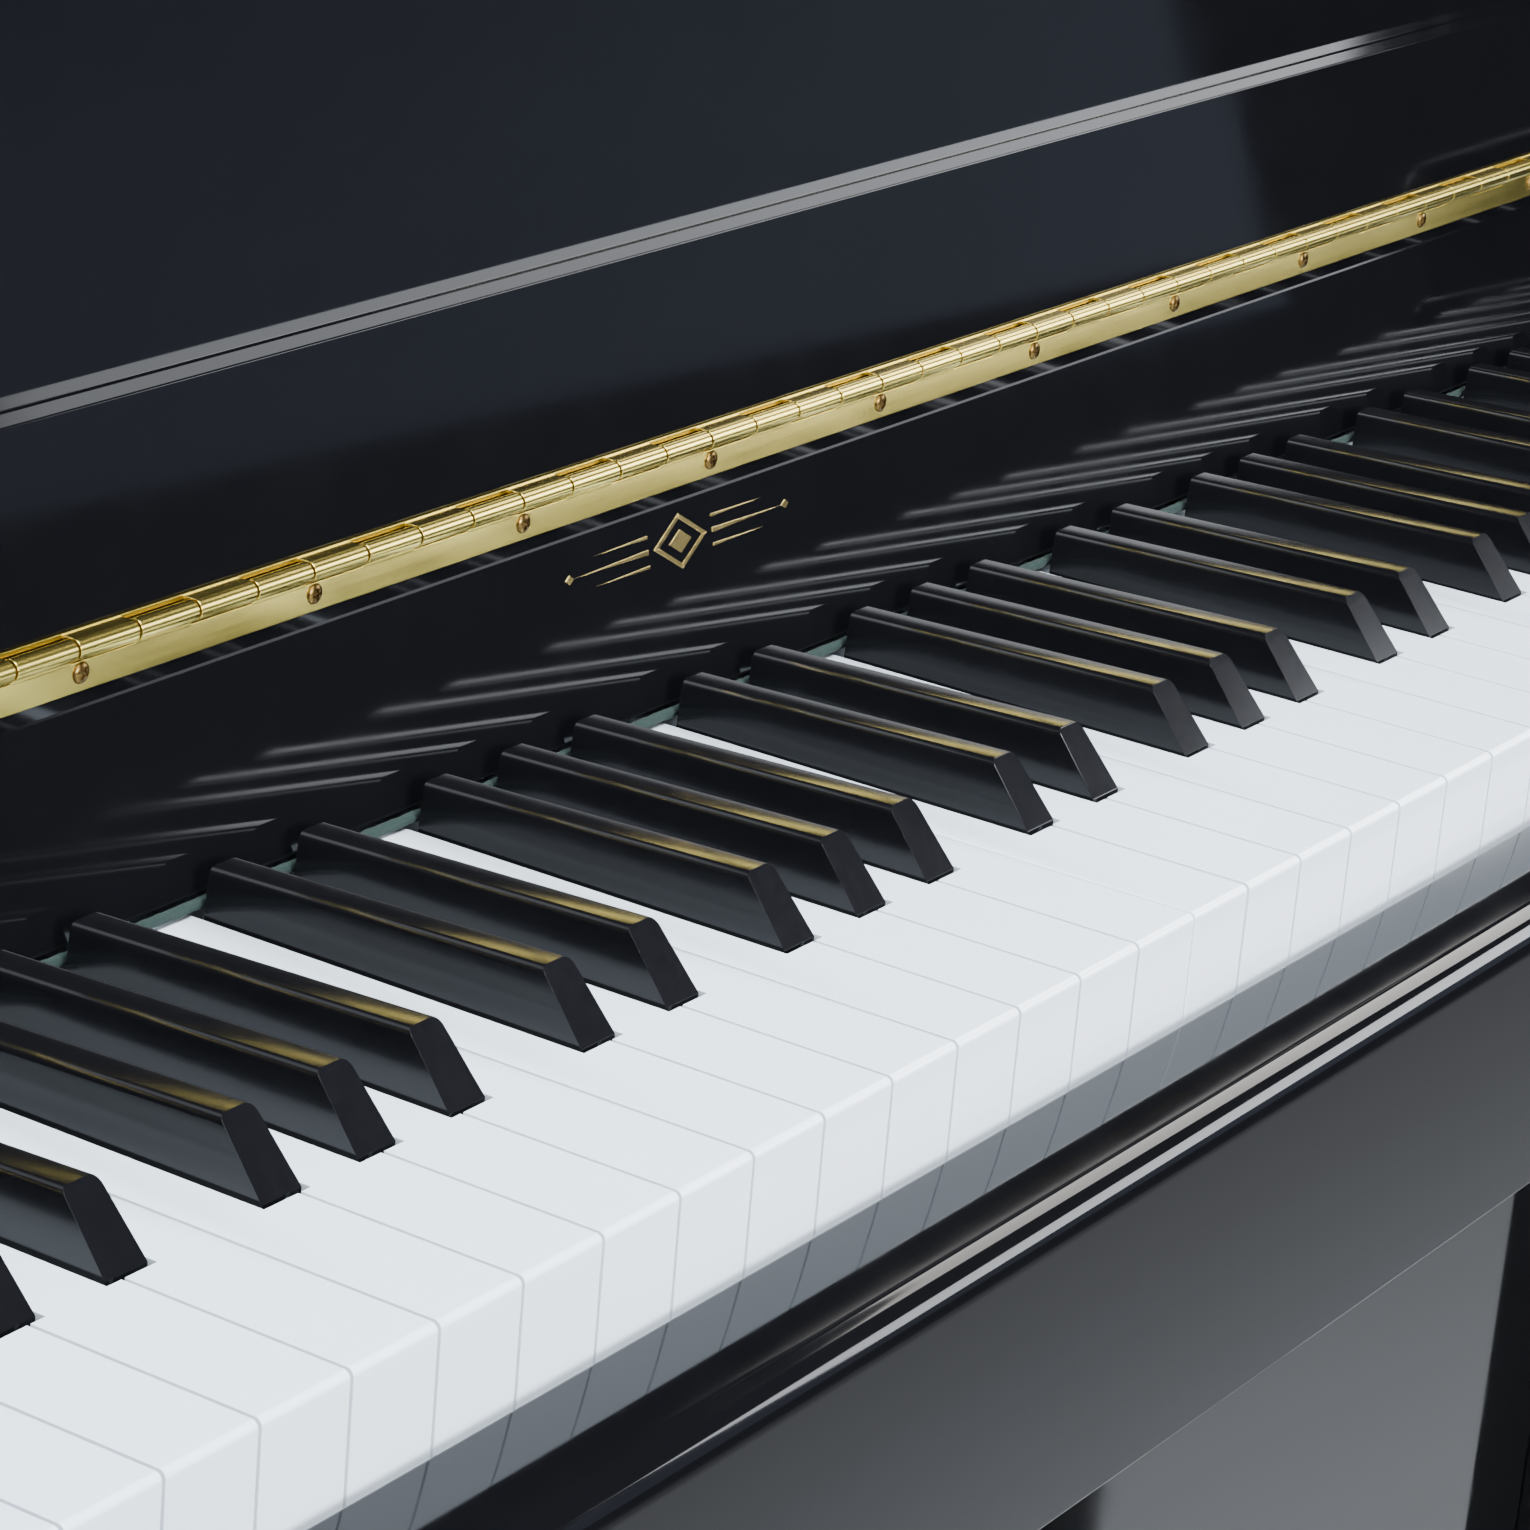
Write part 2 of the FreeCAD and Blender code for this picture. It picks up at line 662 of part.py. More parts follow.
def make_case():
    save("left_side", [side_panel(-half_case, -half_inside)])
    save("right_side", [side_panel(half_inside, half_case)])
    panel_back_y = panel_front_y + panel_thickness
    toe_rail_top = case_bottom + bottom_board_thickness + toe_rail_height
    board = box(-half_inside, half_inside, panel_front_y, back_y, case_bottom,
                case_bottom + bottom_board_thickness)
    rail = box(-half_inside, half_inside, panel_front_y, panel_back_y,
               case_bottom + bottom_board_thickness, toe_rail_top)
    for i in (-1, 0, 1):
        x = i * pedal_spacing
        rail = rail.cut(box(x - pedal_slot_half, x + pedal_slot_half, panel_front_y - 1, panel_back_y + 1,
                            case_bottom + bottom_board_thickness - 1, pedal_z + pedal_slot_rise))
    save("bottom_board", [board, rail] + pedal_brackets())
    save("lower_panel", [box(-half_inside, half_inside, panel_front_y, panel_back_y,
                             toe_rail_top + 2, keybed_bottom - 2)])
    save("upper_panel", [box(-half_inside, half_inside, panel_front_y, panel_back_y,
                             rail_top, side_top - 1)] + bumpers() + desk_lugs())
    bed = box(-half_inside, half_inside, slip_back_y, keybed_back_y, keybed_bottom, keybed_top)
    for x, y in dowel_places().values():
        bed = bed.cut(rod(dowel_radius + dowel_hole_clearance, (x, y, keybed_bottom - 1),
                          (x, y, keybed_top + 1)))
    save("keybed", [bed])
    slip_front = slip_back_y - slip_depth
    slip = prism_x([(slip_back_y, slip_top), (slip_back_y, keybed_bottom), (slip_front, keybed_bottom),
                    (slip_front, slip_top - slip_fall)], -half_inside, half_inside)
    slip = fillet_edges(slip, slip_nose_radius, lambda e: runs_along_x(e)
                        and middle(e).y < slip_front + 1 and middle(e).z > slip_top - slip_fall - 1)
    save("key_slip", [slip])
    blocks = []
    for side in (-1, 1):
        x0, x1 = sorted((side * (-keys_left + key_end_clearance), side * half_inside))
        block = box(x0, x1, slip_back_y, block_back_y, keybed_top, natural_top + block_rise)
        blocks.append(fillet_edges(block, 5, lambda e: runs_along_x(e)
                                   and middle(e).y < slip_back_y + 1 and middle(e).z > natural_top))
    save("cheek_blocks", blocks)
    legs = []
    for side in (-1, 1):
        x0, x1 = sorted((side * (half_case - leg_width), side * half_case))
        leg = box(x0, x1, leg_front_y, leg_front_y + leg_depth, case_bottom + toe_height, keybed_bottom)
        toe = box(x0, x1, leg_front_y - 6, side_front_y, case_bottom, case_bottom + toe_height)
        leg = fillet_edges(leg, 4, runs_along_z)
        toe = fillet_edges(toe, 10, lambda e: middle(e).y < leg_front_y and runs_along_x(e))
        legs += [leg, toe]
    save("front_legs", legs)
    feet = []
    for x in (-half_case + leg_width / 2, half_case - leg_width / 2):
        for y in (leg_front_y + leg_depth / 2, back_y - leg_depth / 2):
            cup = Part.makeCone(foot_radius, foot_neck_radius, foot_pad_height, FreeCAD.Vector(x, y, 0))
            feet.append(cup.fuse(rod(foot_neck_radius, (x, y, foot_pad_height), (x, y, foot_height))))
    save("feet", feet)


def bumpers():
    """Rubber buttons on the upper panel that the open fallboard leans on."""
    v, u = fall_thickness, fall_length - bumper_drop
    back = fall_point(u, v)[0]
    z = fall_point(u, v)[1]
    return [rod(bumper_radius, (x, back + bumper_radius * 0.2 + 1, z), (x, panel_front_y, z))
            for x in (-half_inside * bumper_spread, half_inside * bumper_spread)]


# ---- nameboard, fallboard and their hinge ----
def make_nameboard():
    foot_z = natural_top + nameboard_foot_rise
    foot = nameboard_foot_y + nameboard_foot_rise * math.tan(math.radians(nameboard_lean))
    back = nameboard_thickness / math.cos(math.radians(nameboard_lean))
    board = prism_x([(foot, foot_z), (foot + back, foot_z), (arris_y + back, arris_z), (arris_y, arris_z)],
                    -half_inside, half_inside)
    leaf_back = hinge_y - hinge_leaf_proud + hinge_leaf_thickness
    leaf_bottom = hinge_z - hinge_leaf_drop
    cove_back = hinge_y + hinge_knuckle_radius + gap
    cove_bottom = hinge_z - hinge_knuckle_radius - gap
    rail = prism_x([(hinge_y, arris_z), (panel_front_y, arris_z), (panel_front_y, rail_top),
                    (cove_back, rail_top), (cove_back, cove_bottom), (leaf_back, cove_bottom),
                    (leaf_back, leaf_bottom), (hinge_y, leaf_bottom)], -half_inside, half_inside)
    holes = []
    for x in screw_places():
        holes.append(rod(screw_shank_radius, (x, leaf_back, hinge_z - screw_drop),
                         (x, leaf_back + screw_length, hinge_z - screw_drop)))
    rail = rail.cut(Part.makeCompound(holes))
    save("nameboard", [board, rail])
    y1 = nameboard_foot_y - 0.3
    felt_bottom = natural_top + felt_clearance
    save("nameboard_felt", [box(keys_left, -keys_left, y1 - felt_depth, y1, felt_bottom,
                                felt_bottom + felt_height)])


def hinge_half_length():
    """The hinge is a whole number of knuckle pairs and stays inside the ends of the fallboard."""
    pairs = math.floor((half_inside - 2 * fall_end_clearance) / knuckle_pitch)
    return pairs * knuckle_pitch


def screw_places():
    """Screw centres along the lower leaf, one screw beside a knuckle joint in every fourth."""
    reach = hinge_half_length() - screw_end_margin
    above = math.floor((reach - screw_datum_x) / screw_pitch)
    below = math.floor((screw_datum_x + reach) / screw_pitch)
    return [screw_datum_x + i * screw_pitch for i in range(-below, above + 1)]


def knuckles(odd):
    """Every second knuckle along the hinge, bored for the pin."""
    half = hinge_half_length()
    start = screw_places()[0] - screw_knuckle_offset
    start -= math.floor((start + half) / knuckle_pitch) * knuckle_pitch
    made = []
    x, i = start, 0
    while x + knuckle_pitch <= half:
        if i % 2 == odd:
            a = (x + hinge_knuckle_gap / 2, hinge_y, hinge_z)
            b = (x + knuckle_pitch - hinge_knuckle_gap / 2, hinge_y, hinge_z)
            made.append((a, b))
        x, i = x + knuckle_pitch, i + 1
    return made


def make_fall_hinge():
    half = hinge_half_length()
    r = hinge_knuckle_radius
    front = hinge_y - hinge_leaf_proud
    back = front + hinge_leaf_thickness
    bottom = hinge_z - hinge_leaf_drop
    leaf_low_top = hinge_z - r - gap
    leaf = box(-half, half, front, back, bottom, leaf_low_top)
    holes = [rod(screw_shank_radius, (x, front - 1, hinge_z - screw_drop),
                 (x, back + 1, hinge_z - screw_drop)) for x in screw_places()]
    leaf = leaf.cut(Part.makeCompound(holes))
    low_spans, high_spans = knuckles(0), knuckles(1)
    webs = [box(a[0], b[0], front, back, leaf_low_top - 0.5, hinge_z) for a, b in low_spans]
    tubes = [rod(r, a, b) for a, b in low_spans]
    pin = rod(hinge_pin_radius, low_spans[0][0], low_spans[-1][1])
    save("fallboard_hinge_lower", [fused([leaf] + webs + tubes + [pin])])
    upper_z = hinge_z + fall_foot_rise
    bore = rod(hinge_pin_radius + hinge_pin_clearance, (-half - 1, hinge_y, hinge_z),
               (half + 1, hinge_y, hinge_z))
    plate = box(-half, half, hinge_y + r + gap, hinge_y + upper_leaf_depth,
                upper_z - hinge_leaf_thickness, upper_z)
    arms = [box(a[0], b[0], hinge_y, hinge_y + r + gap + 1, upper_z - hinge_leaf_thickness, upper_z)
            for a, b in high_spans]
    collars = [rod(r, a, b) for a, b in high_spans]
    save("fallboard_hinge_upper", [fused([plate] + arms + collars).cut(bore)])
    screws = []
    for x in screw_places():
        z = hinge_z - screw_drop
        head = Part.makeCone(screw_head_radius, screw_head_radius * 0.6, screw_head_height,
                             FreeCAD.Vector(x, front, z), FreeCAD.Vector(0, -1, 0))
        shank = rod(screw_shank_radius, (x, front, z), (x, back + screw_length, z))
        screws.append(head.fuse(shank))
    save("hinge_screws", screws)


def fall_point(u, v):
    """A point of the open fallboard: u up its inner face from the hinge, v back from that face."""
    a = math.radians(fall_lean)
    w = fall_face_setback + v
    return (hinge_y + u * math.sin(a) + w * math.cos(a), hinge_z + u * math.cos(a) - w * math.sin(a))


def fall_foot(v):
    """The foot of the fallboard at depth v, on a level line above the hinge axis."""
    a = math.radians(fall_lean)
    u = (fall_foot_rise + (fall_face_setback + v) * math.sin(a)) / math.cos(a)
    return fall_point(u, v)


def make_fallboard():
    top, lip = fall_length, fall_length - fall_lip_thickness
    outline = [
        fall_foot(0), fall_point(fall_rail_height, 0), fall_point(fall_rail_height, fall_relief),
        fall_point(lip, fall_relief), fall_point(lip, -fall_lip_depth), fall_point(top, -fall_lip_depth),
        fall_point(top, fall_thickness), fall_foot(fall_thickness),
    ]
    end = half_inside - fall_end_clearance
    board = prism_x(outline, -end, end)
    top_z = fall_point(top, fall_thickness)[1]
    board = fillet_edges(board, 4, lambda e: runs_along_x(e) and middle(e).z > top_z - 1
                         and not fall_point(lip, -fall_lip_depth)[1] - 1 < middle(e).z
                         < fall_point(lip, -fall_lip_depth)[1] + 1)
    save("fallboard", [board])


# ---- top lid and music desk ----
def make_lids():
    edge = half_case + lid_overhang
    rear = box(-edge, edge, lid_split_y + gap, back_y, side_top, lid_top)
    front = box(-edge, edge, lid_front_y, lid_split_y - gap, side_top + gap, lid_top)
    front = fillet_edges(front, 6, lambda e: runs_along_x(e) and middle(e).y < lid_front_y + 1)
    save("lid_rear", [rear])
    save("lid_front", [front])
    axis_z = lid_top + lid_hinge_rise
    r = hinge_knuckle_radius - 0.1
    half = math.floor((half_case - 20) / lid_hinge_pitch) * lid_hinge_pitch
    pin = rod(hinge_pin_radius, (-half, lid_split_y, axis_z), (half, lid_split_y, axis_z))
    bore = rod(hinge_pin_radius + hinge_pin_clearance, (-half - 1, lid_split_y, axis_z),
               (half + 1, lid_split_y, axis_z))
    spans = [-half + i * lid_hinge_pitch for i in range(round(2 * half / lid_hinge_pitch))]
    for name, side, odd in (("lid_hinge_rear", 1, 0), ("lid_hinge_front", -1, 1)):
        near, far = lid_split_y + side * (r + gap), lid_split_y + side * lid_leaf_width
        pieces = [box(-half, half, min(near, far), max(near, far), lid_top, lid_top + hinge_leaf_thickness)]
        for x in spans[odd::2]:
            a, b = x + hinge_knuckle_gap / 2, x + lid_hinge_pitch - hinge_knuckle_gap / 2
            pieces.append(rod(r, (a, lid_split_y, axis_z), (b, lid_split_y, axis_z)))
            inner = sorted((lid_split_y + side * 1.3, near + side))
            pieces.append(box(a, b, inner[0], inner[1], lid_top + 0.1, lid_top + hinge_leaf_thickness))
        leaf = fused(pieces)
        save(name, [leaf.cut(bore) if odd else leaf.cut(bore).fuse(pin)])
    back = panel_front_y - gap
    desk = box(-desk_width / 2, desk_width / 2, back - desk_thickness, back, desk_axis_z + 2,
               desk_axis_z + 2 + desk_height)
    desk = fillet_edges(desk, 3, lambda e: runs_along_z(e) and middle(e).y < back - 1)
    ledge = box(-desk_width / 2, desk_width / 2, back - desk_thickness - desk_ledge_depth,
                back - desk_thickness + 1, desk_axis_z + 2, desk_axis_z + 2 + desk_ledge_thickness)
    axis_y = panel_front_y - desk_axis_setback
    barrel = rod(desk_barrel_radius, (-desk_barrel_half, axis_y, desk_axis_z),
                 (desk_barrel_half, axis_y, desk_axis_z))
    bore = rod(hinge_pin_radius + hinge_pin_clearance, (-desk_barrel_half - 1, axis_y, desk_axis_z),
               (desk_barrel_half + 1, axis_y, desk_axis_z))
    save("music_desk", [fused([desk, ledge, barrel]).cut(bore)])


def desk_lugs():
    """Two lugs on the upper panel, with the pins that the music desk's barrel turns on."""
    axis_y = panel_front_y - desk_axis_setback
    lugs = []
    for side in (-1, 1):
        near = desk_barrel_half + desk_lug_gap
        x0, x1 = sorted((side * near, side * (near + desk_lug_width)))
        lug = box(x0, x1, axis_y - desk_lug_front, panel_front_y, desk_axis_z - desk_lug_drop,
                  desk_axis_z + 1)
        pin = rod(hinge_pin_radius, (side * (desk_barrel_half - desk_pin_grip), axis_y, desk_axis_z),
                  (side * (near + 1), axis_y, desk_axis_z))
        lugs.append(lug.fuse(pin))
    return lugs


# ---- strings, plate, soundboard and back ----
def string_at(n, z):
    """x of a note's string at height z; it passes its hammer at the strike line."""
    slope = bass_slope if n < bass_notes else treble_slope
    return note_x(n) + slope * (strike_z - z)


def string_ends(n):
    """Top and bottom (x, z) of a note's strings."""
    row = n % pin_rows
    z_top = pin_field_bottom + pin_field_start + row * pin_row_pitch
    octaves = (note_count - 1 - n) / 12
    length = shortest_string * string_growth ** octaves
    length = length * longest_treble / (length + longest_treble)
    bass_low = hitch_z + bass_hitch_rise - bass_hitch_step * n
    z_low = bass_low if n < bass_notes else agraffe_z - length - hitch_run
    return (string_at(n, z_top), z_top), (string_at(n, z_low), z_low)


def make_strings():
    wires = []
    for n in range(note_count):
        y, radius, count = string_place(n)
        (x0, z0), (x1, z1) = string_ends(n)
        for i in range(count):
            shift = (i - (count - 1) / 2) * string_spacing
            wires.append(rod(radius, (x0 + shift, y, z0 + i * pin_stagger), (x1 + shift, y, z1)))
    save("strings", wires)


def make_tuning_pins():
    """One pin for each string, standing out of the plate's top field."""
    pins = []
    for n in range(note_count):
        y, radius, count = string_place(n)
        (x0, z0), low = string_ends(n)
        for i in range(count):
            shift = (i - (count - 1) / 2) * string_spacing * 0.9
            z = z0 + i * pin_stagger + radius + tuning_pin_radius + 0.1
            pins.append(rod(tuning_pin_radius, (x0 + shift, plate_front_y - tuning_pin_length / 2, z),
                            (x0 + shift, plate_front_y, z)))
    save("tuning_pins", pins)


def bridge_band(notes, width):
    """The bridge under a run of notes: a bent bar that follows the strings' speaking ends."""
    heights = [(n, string_ends(n)[1][1] + hitch_run) for n in notes]
    middle_line = [(string_at(n, z), z) for n, z in heights]
    upper = [(x, z + width / 2) for x, z in middle_line]
    lower = [(x, z - width / 2) for x, z in middle_line]
    return upper + lower[::-1]


def make_back():
    x1 = half_inside - 6
    struts = [(note_x(bass_notes) - 30, 1), (note_x(52), 2), (note_x(68), 3)]
    plate_back = plate_front_y + plate_thickness
    bars = [
        box(-x1, x1, plate_front_y, plate_back, pin_field_bottom - 16, plate_top),
        box(-x1, x1, plate_front_y, plate_back, plate_bottom, hitch_z + 20),
        box(-x1, -x1 + plate_border, plate_front_y, plate_back, plate_bottom, plate_top),
        box(x1 - plate_border, x1, plate_front_y, plate_back, plate_bottom, plate_top),
    ]
    for x, number in struts:
        bars.append(box(x - strut_width / 2, x + strut_width / 2, plate_front_y, plate_back,
                        plate_bottom, plate_top))
    treble = range(bass_notes, note_count, 6)
    web = [(string_ends(n)[1][0], string_ends(n)[1][1] + 14) for n in treble]
    web = [(x1 - 4, web[-1][1])] + web[::-1] + [(web[0][0], plate_bottom + 4), (x1 - 4, plate_bottom + 4)]
    bars.append(prism_y(web, plate_front_y, plate_back))
    plate = fused(bars)
    bass_line = bridge_band(range(0, bass_notes, 9), bridge_width)
    treble_line = bridge_band(range(bass_notes + 1, note_count, 6), bridge_width)
    notch = bridge_width + 8
    plate = plate.cut(prism_y(bridge_band(range(0, bass_notes, 9), notch),
                              plate_front_y - 1, plate_back + 1))
    plate = plate.cut(prism_y(bridge_band(range(bass_notes + 1, note_count, 6), notch),
                              plate_front_y - 1, plate_back + 1))
    save("iron_plate", plate.Solids)
    bridge_front_y = treble_string_y + treble_string_radius + bridge_clearance
    bass_bridge = prism_y(bass_line, bridge_front_y, soundboard_y)
    treble_bridge = prism_y(treble_line, bridge_front_y, soundboard_y)
    board = box(-half_inside + 2, half_inside - 2, soundboard_y, soundboard_back,
                plate_bottom, pin_field_bottom)
    ribs = []
    for i in range(rib_count):
        z = plate_bottom + 60 + i * (pin_field_bottom - plate_bottom - 120) / (rib_count - 1)
        ribs.append(box(-half_inside + 40, half_inside - 40, soundboard_back, soundboard_back + rib_depth,
                        z - rib_width / 2, z + rib_width / 2))
    save("soundboard", [board, bass_bridge, treble_bridge] + ribs)
    low_z = case_bottom + bottom_board_thickness
    frame = [
        box(-half_inside, half_inside, plate_back, back_y, pin_field_bottom, side_top),
        box(-half_inside, half_inside, post_front_y, back_y, low_z, low_z + back_beam_height),
    ]
    step = (2 * half_inside - post_width) / (post_count - 1)
    for i in range(post_count):
        x = -half_inside + i * step
        frame.append(box(x, x + post_width, post_front_y, back_y, low_z + back_beam_height,
                         pin_field_bottom))
    save("back_frame", frame)


# ---- pedals and their linkage ----
def dowel_places():
    return {"left": (-side_dowel_x, outer_lever_y), "middle": (-middle_dowel_x, middle_lever_y),
            "right": (side_dowel_x, outer_lever_y)}


def lever_places():
    """Each lever's row, fulcrum x, inner end x and outer end x."""
    return {
        "left": (outer_lever_y, -side_fulcrum_x, -pedal_spacing, -side_dowel_x),
        "middle": (middle_lever_y, -middle_fulcrum_x, 0.0, -middle_dowel_x),
        "right": (outer_lever_y, side_fulcrum_x, pedal_spacing, side_dowel_x),
    }


def pedal_brackets():
    """Ears beside each pedal's pin, and the fulcrum stands of the trap levers."""
    floor = case_bottom + bottom_board_thickness
    made = []
    for i in (-1, 0, 1):
        x = i * pedal_spacing
        for side in (-1, 1):
            a, b = sorted((x + side * ear_gap, x + side * (ear_gap + ear_thickness)))
            ear = box(a, b, pedal_pivot_y - ear_half, pedal_pivot_y + ear_half, floor, pedal_z + ear_rise)
            made.append(ear.cut(rod(pedal_pin_radius + pivot_clearance, (a - 1, pedal_pivot_y, pedal_z),
                                    (b + 1, pedal_pivot_y, pedal_z))))
    for y, x, inner, outer in lever_places().values():
        for side in (-1, 1):
            near = lever_width / 2 + stand_gap
            a, b = sorted((y + side * near, y + side * (near + stand_thickness)))
            made.append(box(x - stand_half, x + stand_half, a, b, floor, lever_z + ear_rise).cut(
                rod(pedal_pin_radius + pivot_clearance, (x, a - 1, lever_z), (x, b + 1, lever_z))))
    return made


def make_pedals():
    low = pedal_z - pedal_thickness / 2
    for i, name in enumerate(("left", "middle", "right")):
        x = (i - 1) * pedal_spacing
        y, fulcrum, inner, outer = lever_places()[name]
        half, neck = pedal_tip_width / 2, pedal_neck_width / 2
        tip = Part.makeCylinder(half, pedal_thickness, FreeCAD.Vector(x, pedal_tip_y + half, low))
        waist = pedal_tip_y + pedal_tip_length
        points = [(x - half, pedal_tip_y + half), (x - neck, waist), (x - neck, pedal_pivot_y + pedal_tail),
                  (x + neck, pedal_pivot_y + pedal_tail), (x + neck, waist), (x + half, pedal_tip_y + half)]
        corners = [FreeCAD.Vector(px, py, low) for px, py in points]
        blade = Part.Face(Part.makePolygon(corners + corners[:1]))
        blade = blade.extrude(FreeCAD.Vector(0, 0, pedal_thickness))
        reach = ear_gap + ear_thickness
        pin = rod(pedal_pin_radius, (x - reach, pedal_pivot_y, pedal_z),
                  (x + reach, pedal_pivot_y, pedal_z))
        lifter = rod(rod_radius, (x, y, pedal_z), (x, y, lever_z - lever_height / 2 - gap))
        save("pedal_" + name, [fused([tip, blade, pin, lifter])])
        x0, x1 = sorted((inner, outer))
        lever = box(x0 - lever_end, x1 + lever_end, y - lever_width / 2, y + lever_width / 2,
                    lever_z - lever_height / 2, lever_z + lever_height / 2)
        axle_half = lever_width / 2 + stand_gap + stand_thickness
        axle = rod(pedal_pin_radius, (fulcrum, y - axle_half, lever_z), (fulcrum, y + axle_half, lever_z))
        save("trap_lever_" + name, [lever.fuse(axle)])
        dx, dy = dowel_places()[name]
        save("dowel_" + name, [rod(dowel_radius, (dx, dy, lever_z + lever_height / 2 + gap),
                                   (dx, dy, dowel_top))])


os.makedirs("parts", exist_ok=True)
make_case()
make_nameboard()
make_fall_hinge()
make_fallboard()
make_lids()
make_strings()
make_tuning_pins()
make_back()
make_pedals()
make_key_frame()
make_keys()
make_action()
print("driving sizes built,", len(os.listdir("parts")), "nodes in parts")
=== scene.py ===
import bpy
import bmesh
import json
import math
from mathutils import Matrix, Vector


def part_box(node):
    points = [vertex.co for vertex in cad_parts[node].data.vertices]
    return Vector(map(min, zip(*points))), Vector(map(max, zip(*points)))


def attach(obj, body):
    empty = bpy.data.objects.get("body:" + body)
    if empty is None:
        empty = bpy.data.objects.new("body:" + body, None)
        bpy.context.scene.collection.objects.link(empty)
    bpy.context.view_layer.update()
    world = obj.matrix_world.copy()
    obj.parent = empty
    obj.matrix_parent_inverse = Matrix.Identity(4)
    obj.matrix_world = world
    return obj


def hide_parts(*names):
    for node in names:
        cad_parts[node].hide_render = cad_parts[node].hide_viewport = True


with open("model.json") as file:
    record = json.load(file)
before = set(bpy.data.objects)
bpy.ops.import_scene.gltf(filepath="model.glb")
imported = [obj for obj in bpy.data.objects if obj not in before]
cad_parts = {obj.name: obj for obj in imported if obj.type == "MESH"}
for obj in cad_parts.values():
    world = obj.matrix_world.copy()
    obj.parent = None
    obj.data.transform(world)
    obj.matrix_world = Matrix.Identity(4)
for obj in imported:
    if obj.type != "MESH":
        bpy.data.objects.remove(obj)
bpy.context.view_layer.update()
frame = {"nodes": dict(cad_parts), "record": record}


# camera: the player's left, looking down along the keys
camera = {"place": (-0.9345, -0.6922, 1.1020), "azimuth": -57.81, "elevation": 19.84, "roll": 5.015,
          "lens": 116.74, "sensor": 36, "nearest": 0.05}


def placeCamera(values):
    az, el, roll = (math.radians(values[k]) for k in ("azimuth", "elevation", "roll"))
    back = Vector((math.sin(az) * math.cos(el), -math.cos(az) * math.cos(el), math.sin(el)))
    right = Vector((math.cos(az), math.sin(az), 0))
    up = back.cross(right)
    c, s = math.cos(roll), math.sin(roll)
    right, up = right * c + up * s, up * c - right * s
    turn = Matrix((right, up, back)).transposed().to_4x4()
    data = bpy.data.cameras.new("camera")
    data.lens = values["lens"]
    data.sensor_width = values["sensor"]
    data.clip_start = values["nearest"]
    data.dof.use_dof = False
    eye = bpy.data.objects.new("camera", data)
    eye.matrix_world = Matrix.Translation(values["place"]) @ turn
    bpy.context.scene.collection.objects.link(eye)
    bpy.context.scene.camera = eye


placeCamera(camera)
print("camera placed")


# finishes: every finish is a shader with its grain, colour shift and bump from one shared group
grainShape = {"fineScale": 1, "fineDetail": 5, "broadScale": 0.13, "broadDetail": 2, "broadShare": 0.35,
              "lowest": 0.3, "highest": 0.7, "bumpDepth": 0.0004}


def makeGrainGroup():
    group = bpy.data.node_groups.new("finishGrain", "ShaderNodeTree")
    face = group.interface
    for name, kind in (("Stretch", "NodeSocketVector"), ("Detail", "NodeSocketFloat"),
                       ("Light", "NodeSocketColor"), ("Dark", "NodeSocketColor"),
                       ("Smooth", "NodeSocketFloat"), ("Rough", "NodeSocketFloat")):
        face.new_socket(name=name, in_out="INPUT", socket_type=kind)
    for name, kind in (("Color", "NodeSocketColor"), ("Roughness", "NodeSocketFloat"),
                       ("Height", "NodeSocketFloat")):
        face.new_socket(name=name, in_out="OUTPUT", socket_type=kind)
    nodes, links = group.nodes, group.links
    given, result = nodes.new("NodeGroupInput"), nodes.new("NodeGroupOutput")
    place = nodes.new("ShaderNodeTexCoord")
    mapping = nodes.new("ShaderNodeMapping")
    fine, broad = nodes.new("ShaderNodeTexNoise"), nodes.new("ShaderNodeTexNoise")
    fine.inputs["Scale"].default_value = grainShape["fineScale"]
    broad.inputs["Scale"].default_value = grainShape["broadScale"]
    broad.inputs["Detail"].default_value = grainShape["broadDetail"]
    blend = nodes.new("ShaderNodeMix")
    blend.inputs["Factor"].default_value = grainShape["broadShare"]
    colours = nodes.new("ShaderNodeMix")
    colours.data_type = "RGBA"
    roughness = nodes.new("ShaderNodeMapRange")
    links.new(place.outputs["Object"], mapping.inputs["Vector"])
    links.new(given.outputs["Stretch"], mapping.inputs["Scale"])
    links.new(mapping.outputs["Vector"], fine.inputs["Vector"])
    links.new(mapping.outputs["Vector"], broad.inputs["Vector"])
    links.new(given.outputs["Detail"], fine.inputs["Detail"])
    links.new(fine.outputs["Fac"], blend.inputs["A"])
    links.new(broad.outputs["Fac"], blend.inputs["B"])
    links.new(blend.outputs["Result"], colours.inputs["Factor"])
    links.new(given.outputs["Light"], colours.inputs["A"])
    links.new(given.outputs["Dark"], colours.inputs["B"])
    links.new(blend.outputs["Result"], roughness.inputs["Value"])
    roughness.inputs["From Min"].default_value = grainShape["lowest"]
    roughness.inputs["From Max"].default_value = grainShape["highest"]
    links.new(given.outputs["Smooth"], roughness.inputs["To Min"])
    links.new(given.outputs["Rough"], roughness.inputs["To Max"])
    links.new(colours.outputs["Result"], result.inputs["Color"])
    links.new(roughness.outputs["Result"], result.inputs["Roughness"])
    links.new(blend.outputs["Result"], result.inputs["Height"])
    return group


